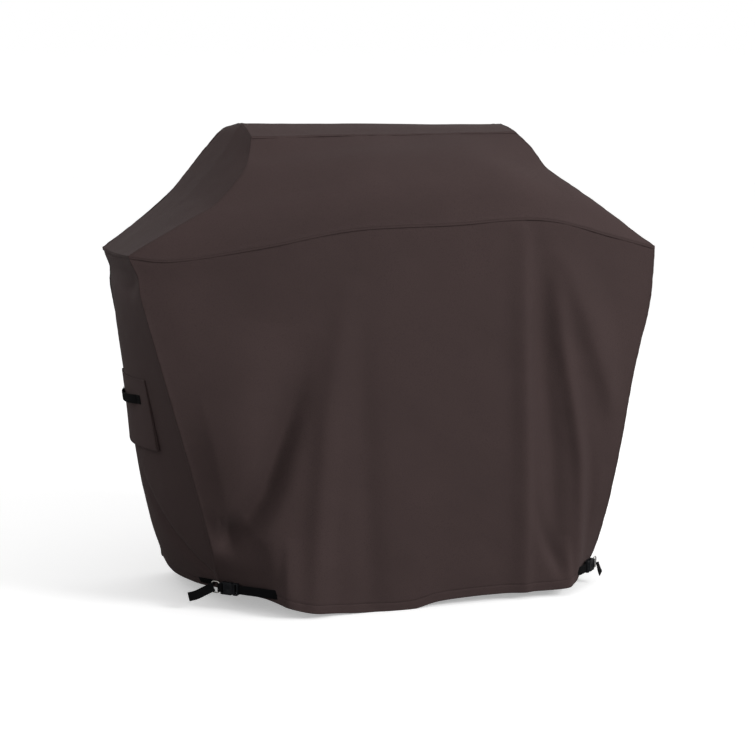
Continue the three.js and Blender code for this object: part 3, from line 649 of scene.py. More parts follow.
class Panel:
    """A sewn panel of cloth. Its surface takes s and t from 0 to 1, and past them, where the panel
    laps over a neighbour, it takes metres past that edge."""

    def __init__(self, name, surface, laps, seed, hem=None):
        self.name, self.surface, self.laps, self.seed, self.hem = name, surface, laps, seed, hem
        self.share = hem or 1  # of the fall, down to where the folded hem takes over
        fine = np.linspace(0, 1, 41)
        grid = surface(fine[None, :], fine[:, None])
        self.fine = fine
        self.widths = np.linalg.norm(np.diff(grid, axis=1), axis=-1).sum(1)
        self.falls = np.linalg.norm(np.diff(grid, axis=0), axis=-1).sum(0)

    def width(self, t=0.5):
        return np.interp(t, self.fine, self.widths)

    def fall(self, s=0.5):
        return np.interp(s, self.fine, self.falls)

    def flat(self, s, t):
        """The surface and its laps, without the seams' relief."""
        s, t = np.broadcast_arrays(s, t)
        inner_s, inner_t = np.clip(s, 0, 1), np.clip(t, 0, 1)
        points = self.surface(inner_s, inner_t)
        past = {"left": -s, "right": s - 1, "top": -t, "bottom": t - 1}
        for edge, lap in self.laps.items():
            place = inner_t if edge in ("left", "right") else inner_s
            points = points + lap(place, np.maximum(past[edge], 0)) - lap(place, 0 * place)
        return points

    def distances(self, s, t):
        """How far each point lies in from each edge, below zero where it is past it."""
        s, t = np.broadcast_arrays(s, t)
        width, fall = self.width(t), self.fall(s)
        return {
            "left": np.where(s < 0, s, s * width),
            "right": np.where(s > 1, 1 - s, (1 - s) * width),
            "top": np.where(t < 0, t, t * fall),
            "bottom": np.where(t > 1, 1 - t, (1 - t) * fall),
        }

    def relief(self, s, t):
        """How far the cloth stands off its surface: laps, grooves, puckers and ripples."""
        away = self.distances(s, t)
        u, v = away["left"], away["top"]
        height = sum(
            rise * ripple(u, v, size, self.seed + number)
            for number, (rise, size) in enumerate(RIPPLES)
        )
        pucker = PUCKER["height"] * ripple(u, v, PUCKER["size"], self.seed + len(RIPPLES))
        lift, puckered = 0, 0
        for edge, d in away.items():
            if edge == "bottom" and self.hem is not None:
                from_line = np.abs(d - HEM_WIDTH)
                groove = HEM_GROOVE[0] * np.exp(-(from_line / HEM_GROOVE[1]) ** 2)
                height = height - groove + pucker * np.exp(-from_line / PUCKER["by_hem"])
                continue
            if edge in self.laps:
                lift = np.maximum(lift, LAP_LIFT * (1 - smoothstep(d, 0.001, 0.012)))
                groove = sum(np.exp(-((d + row) / SEAM_GROOVE[1]) ** 2) for row in SEAM_ROWS)
                lift = lift - SEAM_GROOVE[0] * groove
            else:
                lift = lift - UNDER_LAP * (1 - smoothstep(d, LAP, 2 * LAP))
            puckered = np.maximum(puckered, np.exp(-np.maximum(d, 0) / PUCKER["by_seam"]))
        return height + lift + pucker * puckered

    def points(self, s, t):
        flat = self.flat(s, t)
        return flat + self.relief(s, t)[..., None] * normals_of(flat)

    def places(self, step):
        """The grid's s and t: close-set at the edges, with rows of their own on the laps."""
        s = edge_spaced(self.width(), step)
        t = edge_spaced(self.fall() * self.share, step) * self.share

        def extended(places, first, last):
            before = -EXTENSION[::-1] if first in self.laps else []
            after = 1 + EXTENSION if last in self.laps else []
            return np.concatenate([before, places, after])

        return extended(s, "left", "right"), extended(t, "top", "bottom")

    def edge_line(self, edge, inward, spacing=0.0018, near=np.array([-0.0006, 0, 0.0006])):
        """Points and normals along an edge, a distance in from it."""
        level = edge in ("top", "bottom")
        share = 1 if level else self.share
        length = self.width() if level else self.fall() * share
        ends = SEAM_END / length
        along = np.linspace(ends, 1 - ends, max(8, round(length / spacing))) * share
        size = self.fall(along) if level else self.width(along)
        depth = inward / size if inward > 0 else inward + 0 * size
        place = depth if edge in ("top", "left") else 1 - depth
        if level:
            grid = self.points(along[None, :], place + near[:, None])
            return grid[1], normals_of(grid)[1]
        grid = self.points(place[:, None] + near, along[:, None])
        return grid[:, 1], normals_of(grid)[:, 1]


# ---------- stitching ----------
def bead():
    """One stitch: a slim six-sided bead along X, and the faces of its rings."""
    turns = np.arange(6) * math.pi / 3
    stations = ((-0.5, 0.25), (-0.36, 0.85), (0, 1), (0.36, 0.85), (0.5, 0.25))
    rings = [
        np.stack([0 * turns + x, r * np.cos(turns), 0.7 * r * np.sin(turns)], -1)
        for x, r in stations
    ]
    count, sides = len(stations), 6
    faces = [
        (i * sides + j, i * sides + (j + 1) % sides, (i + 1) * sides + (j + 1) % sides,
         (i + 1) * sides + j)
        for i in range(count - 1) for j in range(sides)
    ]
    faces += [tuple(range(sides))[::-1], tuple((count - 1) * sides + j for j in range(sides))]
    return np.concatenate(rings), faces


BEAD_POINTS, BEAD_FACES = bead()


def stitches(name, lines, material="thread", radius=None):
    """Rows of stitches along lines, each given by its points and its normals."""
    pitch = STITCH["length"] + STITCH["gap"]
    radius = radius or STITCH["radius"]
    vertices, faces = [], []
    for points, normals in lines:
        path, up = Path(points), unit(normals)
        count = int(path.length / pitch)
        if count < 1:
            continue
        middle = (np.arange(count) + 0.5) / count
        half = 0.5 * STITCH["length"] / path.length
        centre = path(middle)
        along = unit(path(middle + half) - path(middle - half))
        share = path.at / path.length
        normal = np.stack([np.interp(middle, share, axis) for axis in up.T], -1)
        side = unit(np.cross(normal, along))
        normal = np.cross(along, side)
        size = np.array([STITCH["length"], radius, radius])
        local = BEAD_POINTS * size
        placed = (
            (centre + normal * radius * 0.35)[:, None, :]
            + local[None, :, :1] * along[:, None, :]
            + local[None, :, 1:2] * side[:, None, :]
            + local[None, :, 2:] * normal[:, None, :]
        )
        for bead_points in placed:
            base = len(vertices)
            vertices.extend(bead_points)
            faces.extend(tuple(base + k for k in face) for face in BEAD_FACES)
    vertices = np.array(vertices)
    uv = vertices[:, :2].copy()
    return mesh_object(name, vertices, faces, [material], uv)


# ---------- cloth panels ----------
def side_laps(surfaces):
    """What each side's panel lies over: the front and rear panels lap over the ends' edges."""
    return {
        "front": {"left": from_edge(surfaces["left"], "right"),
                  "right": from_edge(surfaces["right"], "left")},
        "rear": {"left": from_edge(surfaces["right"], "right"),
                 "right": from_edge(surfaces["left"], "left")},
        "left": {},
        "right": {},
    }


SKIRT_LAP, HOOD_LAP = side_laps(SKIRT), side_laps(HOOD)
TOP_LAP = {
    "bottom": from_edge(HOOD["front"], "top"),
    "top": reversed_edge(from_edge(HOOD["rear"], "top")),
    "left": from_edge(HOOD["left"], "top"),
    "right": reversed_edge(from_edge(HOOD["right"], "top")),
}
HOOD_NODES = {
    "front": "front_hood_panel",
    "rear": "rear_hood_panel",
    "left": "left_end_panel",
    "right": "right_end_panel",
}


def patch(side, width, top, bottom):
    """The s and t ranges of a patch in a skirt's middle, of a width and between two heights."""
    surface = SKIRT[side]
    span = np.linalg.norm(surface(0, 0.5) - surface(1, 0.5))
    crown = surface(0.5, 0)[2]
    fall = crown - surface(0.5, 1)[2]
    share = width / span / 2
    return (0.5 - share, 0.5 + share), ((crown - top) / fall, (crown - bottom) / fall)


def hem_start(side):
    """The t at which a skirt's cloth gives way to its folded hem."""
    surface = SKIRT[side]
    return 1 - HEM_WIDTH / np.linalg.norm(surface(0.5, 0) - surface(0.5, 1))


def sewn_panel(panel, node, hole=None):
    """The panel's cloth and its rows of stitches, in place of a CAD node."""
    s, t = panel.places(GRID_STEP)
    keep = None
    if hole is not None:
        s, t = np.union1d(s, hole[0]), np.union1d(t, hole[1])
        middle_s, middle_t = (s[1:] + s[:-1]) / 2, (t[1:] + t[:-1]) / 2
        in_s = (middle_s > hole[0][0]) & (middle_s < hole[0][1])
        in_t = (middle_t > hole[1][0]) & (middle_t < hole[1][1])
        keep = ~(in_t[:, None] & in_s[None, :])
    points = panel.points(s[None, :], t[:, None])
    cloth = grid_object(f"{panel.name}_cloth", points, ["cloth", "backing"], keep, CLOTH)
    rows = [panel.edge_line(edge, -row) for edge in panel.laps for row in SEAM_ROWS]
    if panel.hem is not None:
        rows.append(panel.edge_line("bottom", HEM_WIDTH + 0.0002))
    sewing = stitches(f"{panel.name}_stitching", rows)
    assign(cloth, "cover", node)
    assign(sewing, "cover")
    return cloth, sewing


HEM_ROWS = (HEM_WIDTH, 0.0235, 0.0215, 0.018, 0.013, 0.008, 0.004, 0.0016)  # above its edge
# The round lower edge: each row's share of the fold's thickness and its height above the edge.
HEM_EDGE = ((0.12, 0.0007), (0.32, 0.00015), (0.5, 0), (0.68, 0.00015), (0.88, 0.0007))
ABOVE_EDGE = 0.0010  # the least height of the hem's two faces above its edge
ABOVE_FLOOR = 0.0002


def folded_hem(side, panel):
    """The hem: the cloth's edge folded up behind itself, with a round lower edge."""
    s, _ = panel.places(GRID_STEP)
    fall = panel.fall()
    down = np.array(HEM_ROWS)
    outer = panel.points(s[None, :], 1 - down[:, None] / fall)
    level = normals_of(outer)
    level[..., 2] = 0
    level = unit(level)
    level = np.repeat(level[-1:], len(down), 0)
    inner = (outer - level * HEM_FOLD)[::-1]
    edge = panel.points(s[None, :], 1 - np.array([[HEM_ROWS[-1]], [0.0]]) / fall)[-1]
    rounded = []
    for share, rise in HEM_EDGE:
        row = edge - level[-1] * HEM_FOLD * share
        row[:, 2] = edge[:, 2] + rise
        rounded.append(row)
    for face in (outer, inner):
        face[..., 2] = np.maximum(face[..., 2], edge[None, :, 2] + ABOVE_EDGE)
    profile = np.concatenate([outer, np.array(rounded), inner])
    rows, cols = profile.shape[:2]
    faces = grid_faces(rows, cols, closed_rows=True)
    faces.append(tuple(i * cols for i in range(rows))[::-1])
    faces.append(tuple(i * cols + cols - 1 for i in range(rows)))
    along = np.concatenate([[0], np.cumsum(np.linalg.norm(np.diff(edge, axis=0), axis=-1))])
    drop = np.concatenate([-down, np.zeros(len(HEM_EDGE)), down[::-1]])
    uv = np.stack(np.meshgrid(along, drop), -1).reshape(-1, 2)
    vertices = profile.reshape(-1, 3)
    vertices[:, 2] = np.maximum(vertices[:, 2], ABOVE_FLOOR - SAG)
    hem = mesh_object(f"{side}_hem_cloth", vertices, faces, ["cloth"], uv, 50)
    assign(hem, "cover", f"{side}_hem")
    return hem


def cover_cloth():
    """Every sewn panel of the cover, with its stitching and its hem."""
    top = Panel("top_panel", top_surface, TOP_LAP, 11)
    cloth, sewn = sewn_panel(top, "top_panel")
    for number, side in enumerate(SIDES):
        laps = {**HOOD_LAP[side], "bottom": from_edge(SKIRT[side], "top")}
        hood = Panel(HOOD_NODES[side], HOOD[side], laps, 20 + 10 * number)
        cloth, sewn = sewn_panel(hood, HOOD_NODES[side])
        body = Panel(f"{side}_skirt", SKIRT[side], SKIRT_LAP[side], 60 + 10 * number,
                     hem_start(side))
        hole = None
        if side in ("left", "right"):
            z, half = VENT["z"], VENT["height"] / 2
            hole = patch(side, VENT["width"], z + half, z - half)
        cloth, sewn = sewn_panel(body, f"{side}_skirt", hole=hole)
        hem = folded_hem(side, body)


# ---------- vents and handles ----------
def lifted(surface, s, t, lift):
    """A grid on a surface, moved out from it by lift."""
    points = surface(s[None, :], t[:, None])
    return points + np.asarray(lift)[..., None] * normals_of(points)


ON_CLOTH = 0.0012  # the flap and the webbing lie this far off the cloth
ON_FLAP = 0.0003


def flap_lift(v):
    """How far the flap stands off the skirt, from its top to its open bottom."""
    return STAND_OFF + ON_CLOTH + FLAP["lift"] * v ** 2


def webbing_strip(name, points, normals, across, width=WEBBING_WIDTH):
    """A strip of webbing along points: a flat section with round selvedges, closed at its ends."""
    places = np.array([-1, -0.985, -0.93, -0.8, -0.4, 0, 0.4, 0.8, 0.93, 0.985, 1])
    half = WEBBING / 2 * np.sqrt(np.clip(1 - np.abs(places) ** 10, 0, 1))
    half[[0, -1]] = SELVEDGE
    profile = np.concatenate([
        np.stack([places, half], -1),
        np.stack([places[::-1], -half[::-1]], -1),
    ])
    rings = (
        points[:, None, :]
        + profile[None, :, :1] * (width / 2) * across[:, None, :]
        + profile[None, :, 1:] * normals[:, None, :]
    )
    rows, cols = rings.shape[:2]
    faces = grid_faces(rows, cols, closed_cols=True)
    faces.append(tuple(range(cols)))
    faces.append(tuple((rows - 1) * cols + j for j in range(cols))[::-1])
    along = np.concatenate([[0], np.cumsum(np.linalg.norm(np.diff(points, axis=0), axis=-1))])
    wide = profile[:, 0] * width / 2
    uv = np.stack(np.meshgrid(wide, along), -1)[..., ::-1].reshape(-1, 2)
    return mesh_object(name, rings.reshape(-1, 3), faces, ["webbing"], uv, 40)


FLAP_BORDER = (0.165, 0.9)  # metres to a unit of v and of s, for the sewn border
GUSSET = {"under_flap": -0.0022, "in_skirt": -0.0004, "thickness": 0.0008}


def vent(side):
    """The flap over the vent, with its gussets and stitching, and what goes with it."""
    surface = SKIRT[side]
    s_range, t_range = patch(side, FLAP["width"], FLAP["top"], FLAP["bottom"])
    height = FLAP["top"] - FLAP["bottom"]
    s = mix(*s_range, edge_spaced(FLAP["width"], FLAP_STEP))
    v = edge_spaced(height, FLAP_STEP)
    t = mix(*t_range, v)
    edge = np.minimum.outer(np.minimum(v, 1 - v) * FLAP_BORDER[0],
                            np.minimum(s - s_range[0], s_range[1] - s) * FLAP_BORDER[1])
    groove = -0.0005 * np.exp(-((edge - 0.004) / 0.0014) ** 2) - 0.0010 * np.exp(-edge / 0.0010)
    lift = flap_lift(v)[:, None] + FLAP["thickness"] - 0.0025 + groove
    flap = grid_object(f"{side}_vent_flap_cloth", lifted(surface, s, t, lift),
                       ["cloth", "cloth"], None, FLAP["thickness"])
    assign(flap, "cover", f"{side}_vent_flap")
    gussets = []
    for end, place in (("first", s[0]), ("second", s[-1])):
        pair = np.array([place, place + 1e-4])
        outer, inner = (
            lifted(surface, pair, t, level[:, None])[:, 0]
            for level in (flap_lift(v) + GUSSET["under_flap"], 0 * v + GUSSET["in_skirt"])
        )
        strip = np.stack([outer, mix(outer, inner, 0.5), inner], 1)
        gussets.append(grid_object(f"{side}_vent_{end}_gusset", strip, ["cloth", "cloth"], None,
                                   GUSSET["thickness"]))
    sewing = stitches(f"{side}_vent_flap_stitching", flap_seams(surface, s_range, t_range))
    for piece in (sewing, *gussets):
        assign(piece, "cover")
    vent_mesh(side)
    handle(side)


def flap_seams(surface, s_range, t_range, inset=0.004):
    """The stitched line round the flap, a little in from its edge."""
    frame_s = np.linspace(*s_range, 140)
    frame_v = np.linspace(0.02, 0.98, 110)
    inset_v = inset / (FLAP["top"] - FLAP["bottom"])
    inset_s = inset / FLAP["width"] * (s_range[1] - s_range[0])
    rows = []
    for level in (inset_v, 1 - inset_v):
        near = level + np.array([-0.005, 0, 0.005])
        lift = flap_lift(near)[:, None] + ON_FLAP
        grid = lifted(surface, frame_s[3:-3], mix(*t_range, near), lift)
        rows.append((grid[1], normals_of(grid)[1]))
    for place in (s_range[0] + inset_s, s_range[1] - inset_s):
        near = place + np.array([-0.002, 0, 0.002])
        lift = flap_lift(frame_v)[:, None] + ON_FLAP
        grid = lifted(surface, near, mix(*t_range, frame_v), lift)
        rows.append((grid[:, 1], normals_of(grid)[:, 1]))
    return rows


NET = {"margin": 0.012, "columns": 49, "rows": 39, "behind": 0.0052, "thread": 0.0009}


def vent_mesh(side):
    """The open mesh behind the vent: a net of fine threads, reaching a margin past the vent's
    opening all round.
    """
    width, height = (VENT[size] + 2 * NET["margin"] for size in ("width", "height"))
    s_range, t_range = patch(side, width, VENT["z"] + height / 2, VENT["z"] - height / 2)
    s, t = np.linspace(*s_range, NET["columns"]), np.linspace(*t_range, NET["rows"])
    lift = np.full((NET["rows"], NET["columns"]), -NET["behind"])
    net = grid_object(f"{side}_vent_net", lifted(SKIRT[side], s, t, lift), ["mesh"])
    wires = net.modifiers.new("threads", "WIREFRAME")
    wires.thickness = NET["thread"]
    wires.use_replace = True
    assign(net, "cover", f"{side}_vent_mesh")


HEAVY_THREAD = 0.0005


def box_stitch(centre, normal, along, across, length, width=0.019):
    """A sewn box with a cross in it, as rows of stitches."""
    def corner(i, j):
        return centre + along * length / 2 * i + across * width / 2 * j

    runs = [((-1, -1), (1, -1)), ((1, -1), (1, 1)), ((1, 1), (-1, 1)), ((-1, 1), (-1, -1)),
            ((-1, -1), (1, 1)), ((-1, 1), (1, -1))]
    lines = [np.linspace(corner(*start), corner(*end), 12) for start, end in runs]
    return [(line, np.repeat(normal[None, :], 12, 0)) for line in lines]


def handle(side):
    """The carrying handle's loop and its two sewn ends."""
    surface = SKIRT[side]
    upper, lower = HANDLE["z"] + WEBBING_WIDTH / 2, HANDLE["z"] - WEBBING_WIDTH / 2
    whole, t_range = patch(side, HANDLE["span"] + 2 * HANDLE["tab"], upper, lower)
    loop, _ = patch(side, HANDLE["span"], upper, lower)
    at = (FLAP["top"] - HANDLE["z"]) / (FLAP["top"] - FLAP["bottom"])
    on_flap = flap_lift(at) + WEBBING / 2 + ON_CLOTH
    middle_t = np.array([t_range[0], sum(t_range) / 2, t_range[1]])
    body = f"{side}_handle"
    parts = {body: (np.linspace(*loop, 61), body, HANDLE["bow"])}
    names = ("rear", "front") if side == "left" else ("front", "rear")
    for end, (start, stop) in zip(names, ((whole[0], loop[0]), (loop[1], whole[1]))):
        node = f"{side}_handle_{end}_tab"
        parts[node] = (np.linspace(start, stop, 12), "cover", 0)
    rows = []
    for node, (s, body, bow) in parts.items():
        u = np.linspace(0, 1, len(s))
        lift = on_flap + bow * np.sin(np.pi * u) ** 0.8
        grid = lifted(surface, s, middle_t, np.repeat(lift[None, :], 3, 0))
        across = unit(grid[2] - grid[0])
        line = grid[1]
        along = unit(np.gradient(line, axis=0))
        normals = unit(np.cross(along, -across))
        strip = webbing_strip(f"{node}_webbing", line, normals, -across)
        assign(strip, body, node)
        if body == "cover":
            middle = len(s) // 2
            top = line[middle] + normals[middle] * WEBBING / 2
            rows += box_stitch(top, normals[middle], along[middle], across[middle], 0.015)
    sewing = stitches(f"{side}_handle_stitching", rows, "black_thread", HEAVY_THREAD)
    assign(sewing, "cover")


# ---------- cinch straps ----------
def strap_matrix(side):
    place = STRAPS[side]
    turn = Matrix.Rotation(math.radians(place["heading"]), 4, "Z")
    return Matrix.Translation(place["at"]) @ turn


def placed(points, matrix):
    m = np.array(matrix)
    return points @ m[:3, :3].T + m[:3, 3]


def rounded_outline(x, z, radius, count, middle=0.0):
    """A rectangle's outline, with round corners that turn about the four points (x, z)."""
    turns = np.linspace(0, math.pi / 2, count)
    corners = ((x, z), (-x, z), (-x, -z), (x, -z))
    return [
        (middle + cx + radius * math.cos(a), cz + radius * math.sin(a))
        for quarter, (cx, cz) in enumerate(corners)
        for a in turns + quarter * math.pi / 2
    ]


def ring(side):
    """A ring of round wire with rounded corners."""
    x = (RING["width"] - RING["wire"]) / 2
    z = (RING["height"] - RING["wire"]) / 2
    r = RING["corner"]
    line = np.array([(x, 0, z) for x, z in rounded_outline(x - r, z - r, r, 9)])
    line = Path(np.vstack([line, line[:1]]))(np.linspace(0, 1, 81)[:-1])
    ahead = unit(np.roll(line, -1, 0) - np.roll(line, 1, 0))
    up = np.array([0, 1, 0])
    out = np.cross(ahead, up)
    turn = np.linspace(0, 2 * math.pi, 17)[:-1]
    radius = RING["wire"] / 2
    rings = (
        line[:, None, :]
        + radius * np.cos(turn)[None, :, None] * out[:, None, :]
        + radius * np.sin(turn)[None, :, None] * up
    )
    faces = grid_faces(80, 16, closed_rows=True, closed_cols=True)
    piece = mesh_object(f"{side}_ring_wire", placed(rings.reshape(-1, 3), strap_matrix(side)),
                        faces, ["nickel"])
    finish_normals(piece)
    assign(piece, "cover", f"{side}_strap_ring")


def finish_normals(piece):
    """Turns every face of a closed mesh outward."""
    shape = bmesh.new()
    shape.from_mesh(piece.data)
    bmesh.ops.recalc_face_normals(shape, faces=shape.faces)
    shape.to_mesh(piece.data)
    shape.free()


def stadium(start, stop, radius, count=14):
    """A closed line round two points on X."""
    turns = np.linspace(math.pi / 2, 1.5 * math.pi, count)
    near = [(start + radius * math.cos(a), radius * math.sin(a), 0) for a in turns]
    far = [(stop - radius * math.cos(a), -radius * math.sin(a), 0) for a in turns]
    return np.array(near + far)


def strap_strip(side, name, node, line, normals, across, width=WEBBING_WIDTH):
    """A strip of webbing in place of a CAD node, given in its strap's own axes."""
    matrix = strap_matrix(side)
    turn = np.array(matrix)[:3, :3]
    strip = webbing_strip(name, placed(line, matrix), normals @ turn.T, across @ turn.T, width)
    finish_normals(strip)
    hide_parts(node)
    return strip


LINK = {"radius": 0.00415, "width": 0.024, "past_bar": 0.0022}


def link_loop(side):
    """The short loop of webbing between the ring and the buckle's bar."""
    start = (RING["width"] - RING["wire"]) / 2
    line = stadium(start, BUCKLE["start"] + LINK["past_bar"], LINK["radius"])
    line = Path(np.vstack([line, line[:1]]))(np.linspace(0, 1, 60))
    ahead = unit(np.roll(line, -1, 0) - np.roll(line, 1, 0))
    ahead[0] = ahead[-1] = unit(line[1] - line[-2])
    across = np.tile([0, 0, 1.0], (len(line), 1))
    strip = strap_strip(side, f"{side}_link_webbing", f"{side}_strap_link", line,
                        np.cross(across, ahead), across, LINK["width"])
    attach(strip, "cover")


# The tail's run in its strap's own axes, outward first: along, out and up from the ring's middle.
TAIL = {
    "left": [(-0.002, 0.006, 0.002), (-0.020, 0.018, -0.008), (-0.042, 0.034, -0.020),
             (-0.060, 0.044, -0.025)],
    "right": [(0.004, 0.0095, 0.002), (0.005, 0.013, -0.009), (0.003, 0.016, -0.021),
              (-0.002, 0.019, -0.033)],
}


def tail(side):
    """The strap's loose cut end, hanging out of the ring."""
    out = STRAPS[side]["out"]
    line = Path(spline([(x, out * y, z) for x, y, z in TAIL[side]]))(np.linspace(0.01, 0.995, 40))
    ahead = unit(np.gradient(line, axis=0))
    across = unit(np.cross([0, out, 0], ahead)) * out
    normals = unit(np.cross(ahead, across))
    strip = strap_strip(side, f"{side}_tail_webbing", f"{side}_strap_tail", line, normals, across)
    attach(strip, f"{side}_tail")


ANCHOR_S = {"left": (0.80, 0.95), "right": (0.05, 0.20)}


def anchor(side):
    """The level webbing sewn to the end skirt behind the ring."""
    surface, s = SKIRT[side], ANCHOR_S[side]
    crown = surface(s[0], 0)[2]
    fall = crown - surface(s[0], 1)[2]
    t = (crown - (STRAP_Z + np.array([1, 0, -1]) * WEBBING_WIDTH / 2)) / fall
    grid = lifted(surface, np.linspace(*s, 40), t, np.full((3, 40), WEBBING / 2 + ON_CLOTH))
    across = unit(grid[0] - grid[2])
    line = grid[1]
    normals = unit(np.cross(np.gradient(line, axis=0), across))
    strip = webbing_strip(f"{side}_anchor_webbing", line, normals, across)
    finish_normals(strip)
    assign(strip, "cover", f"{side}_strap_anchor")
    end = 6 if side == "left" else -7
    ahead = unit(line[end + 1] - line[end])
    rows = box_stitch(line[end] + normals[end] * WEBBING / 2, normals[end], ahead, across[end],
                      0.017)
    sewing = stitches(f"{side}_anchor_stitching", rows, "black_thread", HEAVY_THREAD)
    assign(sewing, "cover")


# The webbing from the plug to where it passes under the front skirt's corner fold: along the
# strap and outward from the middle of its ring.
FRONT_STRAP = {
    "left": [(0.0725, 0), (0.117, 0), (0.165, 0), (0.192, -0.002), (0.208, -0.014)],
    "right": [(0.0725, 0), (0.098, 0), (0.120, -0.003), (0.136, -0.011), (0.153, -0.022),
              (0.164, -0.034)],
}


def front_strap(side):
    """The webbing between the buckle's plug and its end, which stays."""
    out = STRAPS[side]["out"]
    line = Path(spline([(x, out * y, 0) for x, y in FRONT_STRAP[side]]))(np.linspace(0, 1, 50))
    across = np.tile([0, 0, 1.0], (50, 1))
    normals = unit(np.cross(np.gradient(line, axis=0), across))
    strip = strap_strip(side, f"{side}_front_webbing", f"{side}_front_strap", line, normals,
                        across)
    start, end = placed(line[[0, -1]], strap_matrix(side)) + (0, 0, SAG)
    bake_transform(strip)


# ---------- buckles ----------
THROUGH = 0.03  # a cut this deep passes right through the buckle


def plate(length, height, thickness, corner, start):
    """A rounded plate in the XZ plane from x = start, as vertices and faces."""
    x, z = length / 2 - corner, height / 2 - corner
    outline = rounded_outline(x, z, corner, 7, start + length / 2)
    count = len(outline)
    vertices = [(x, y, z) for y in (-thickness / 2, thickness / 2) for x, z in outline]
    faces = [tuple(range(count)), tuple(range(2 * count - 1, count - 1, -1))]
    faces += [(i, i + count, (i + 1) % count + count, (i + 1) % count) for i in range(count)]
    return vertices, faces


def block(size, centre):
    """A box as vertices and faces."""
    corners = [(-1, -1, -1), (1, -1, -1), (1, 1, -1), (-1, 1, -1),
               (-1, -1, 1), (1, -1, 1), (1, 1, 1), (-1, 1, 1)]
    vertices = [
        tuple(c + k * d / 2 for c, k, d in zip(centre, corner, size)) for corner in corners
    ]
    faces = [(3, 2, 1, 0), (4, 5, 6, 7), (0, 1, 5, 4), (1, 2, 6, 5), (2, 3, 7, 6), (3, 0, 4, 7)]
    return vertices, faces


def moulded(name, side, solid, cuts, joins, bevel, body, node):
    """A moulded plastic piece: a solid with parts joined on and cut away, and rounded edges."""
    piece = mesh_object(name, *solid, ["plastic"])
    finish_normals(piece)
    helpers = []
    for operation, shapes in (("UNION", joins), ("DIFFERENCE", cuts)):
        for shape in shapes:
            helper = mesh_object(f"{name}_tool", *shape, ["plastic"])
            finish_normals(helper)
            step = piece.modifiers.new("shape", "BOOLEAN")
            step.operation = operation
            step.solver = "EXACT"
            step.object = helper
            helpers.append(helper)
    rounding = piece.modifiers.new("rounded_edges", "BEVEL")
    rounding.width = bevel
    rounding.segments = 3
    rounding.limit_method = "ANGLE"
    rounding.angle_limit = math.radians(35)
    rounding.use_clamp_overlap = True
    depsgraph = bpy.context.evaluated_depsgraph_get()
    shaped = bpy.data.meshes.new_from_object(piece.evaluated_get(depsgraph))
    piece.modifiers.clear()
    piece.data = shaped
    for helper in helpers:
        bpy.data.objects.remove(helper)
    shaped.transform(strap_matrix(side))
    shaped.polygons.foreach_set("use_smooth", [True] * len(shaped.polygons))
    shaped.set_sharp_from_angle(angle=math.radians(38))
    assign(piece, body, node)


def socket(side):
    """The buckle's hollow socket, with a bar for the webbing and a window for each prong."""
    thickness = BUCKLE["thickness"]
    slot_middle = BUCKLE["start"] + BAR["thickness"] + BAR["slot"] / 2
    window_length = WINDOW[1] - WINDOW[0]
    beside = (thickness - BAR["thickness"]) / 2
    cavity_middle = CAVITY["back"] + CAVITY["length"] / 2
    cuts = [
        block((BAR["slot"], THROUGH, BAR["reach"]), (slot_middle, 0, 0)),
        block((CAVITY["length"], CAVITY["thickness"], CAVITY["height"]), (cavity_middle, 0, 0)),
        block((window_length, CAVITY["thickness"], 0.08), (sum(WINDOW) / 2, 0, 0)),
    ]
    for face in (-1, 1):
        cuts.append(block((BAR["thickness"] + 0.002, beside, BAR["reach"]),
                          (BUCKLE["start"] + BAR["thickness"] / 2 - 0.0009,
                           face * (BAR["thickness"] + beside) / 2, 0)))
        points, faces = plate(0.012, 0.010, 0.0016, 0.0049, 0.0385)
        cuts.append(([(x, y + face * thickness / 2, z) for x, y, z in points], faces))
        for rib in range(3):
            cuts.append(block((0.0008, 0.0012, 0.020),
                              (0.0302 + 0.0024 * rib, face * thickness / 2, 0)))
    length = BUCKLE["mouth"] - BUCKLE["start"]
    body = plate(length, BUCKLE["width"], thickness, 0.005, BUCKLE["start"])
    moulded(f"{side}_socket_body", side, body, cuts, [], 0.0008, "cover", f"{side}_buckle_socket")


def plug(side):
    """The buckle's plug, with its slot for the webbing and its guide, and its two prongs."""
    start = BUCKLE["mouth"] + 0.0004
    thickness = BUCKLE["thickness"] - 0.002
    guide = start - GUIDE["tip"] + 0.001
    slot_middle = BUCKLE["end"] - BAR["thickness"] - BAR["slot"] / 2
    cuts = [block((BAR["slot"], THROUGH, BAR["reach"]), (slot_middle, 0, 0))]
    cuts += [
        block((0.0009, 0.0012, 0.022), (start + 0.0022 + 0.0018 * rib, face * thickness / 2, 0))
        for face in (-1, 1) for rib in range(2)
    ]
    joins = [block((guide, GUIDE["thickness"], GUIDE["width"]), (GUIDE["tip"] + guide / 2, 0, 0))]
    body = plate(BUCKLE["end"] - start, BUCKLE["width"], thickness, 0.0042, start)
    moulded(f"{side}_plug_body", side, body, cuts, joins, 0.0006, f"{side}_plug",
            f"{side}_buckle_plug")
    pad_length = WINDOW[1] - WINDOW[0] - 0.0025
    for up, name in ((1, "upper"), (-1, "lower")):
        arm = block((PRONG["length"], PRONG["thickness"], PRONG["width"]),
                    (BUCKLE["mouth"] - PRONG["length"] / 2, 0, up * PRONG["z"]))
        points, faces = plate(pad_length, PRONG["pad"], PRONG["thickness"], 0.0012,
                              WINDOW[0] + 0.00125)
        pad = ([(x, y, z + up * 0.0113) for x, y, z in points], faces)
        grip = [
            block((0.0006, 0.008, 0.0008), (sum(WINDOW) / 2 + 0.0022 * k, 0, up * 0.0131))
            for k in (-1, 0, 1)
        ]
        moulded(f"{side}_{name}_prong_arm", side, arm, grip, [pad], 0.0003,
                f"{side}_{name}_prong", f"{side}_buckle_{name}_prong")


# ---------- stage ----------
WORLD_LIGHT = {"horizon": 1.03, "zenith": 0.48}  # the surroundings' light on the cover


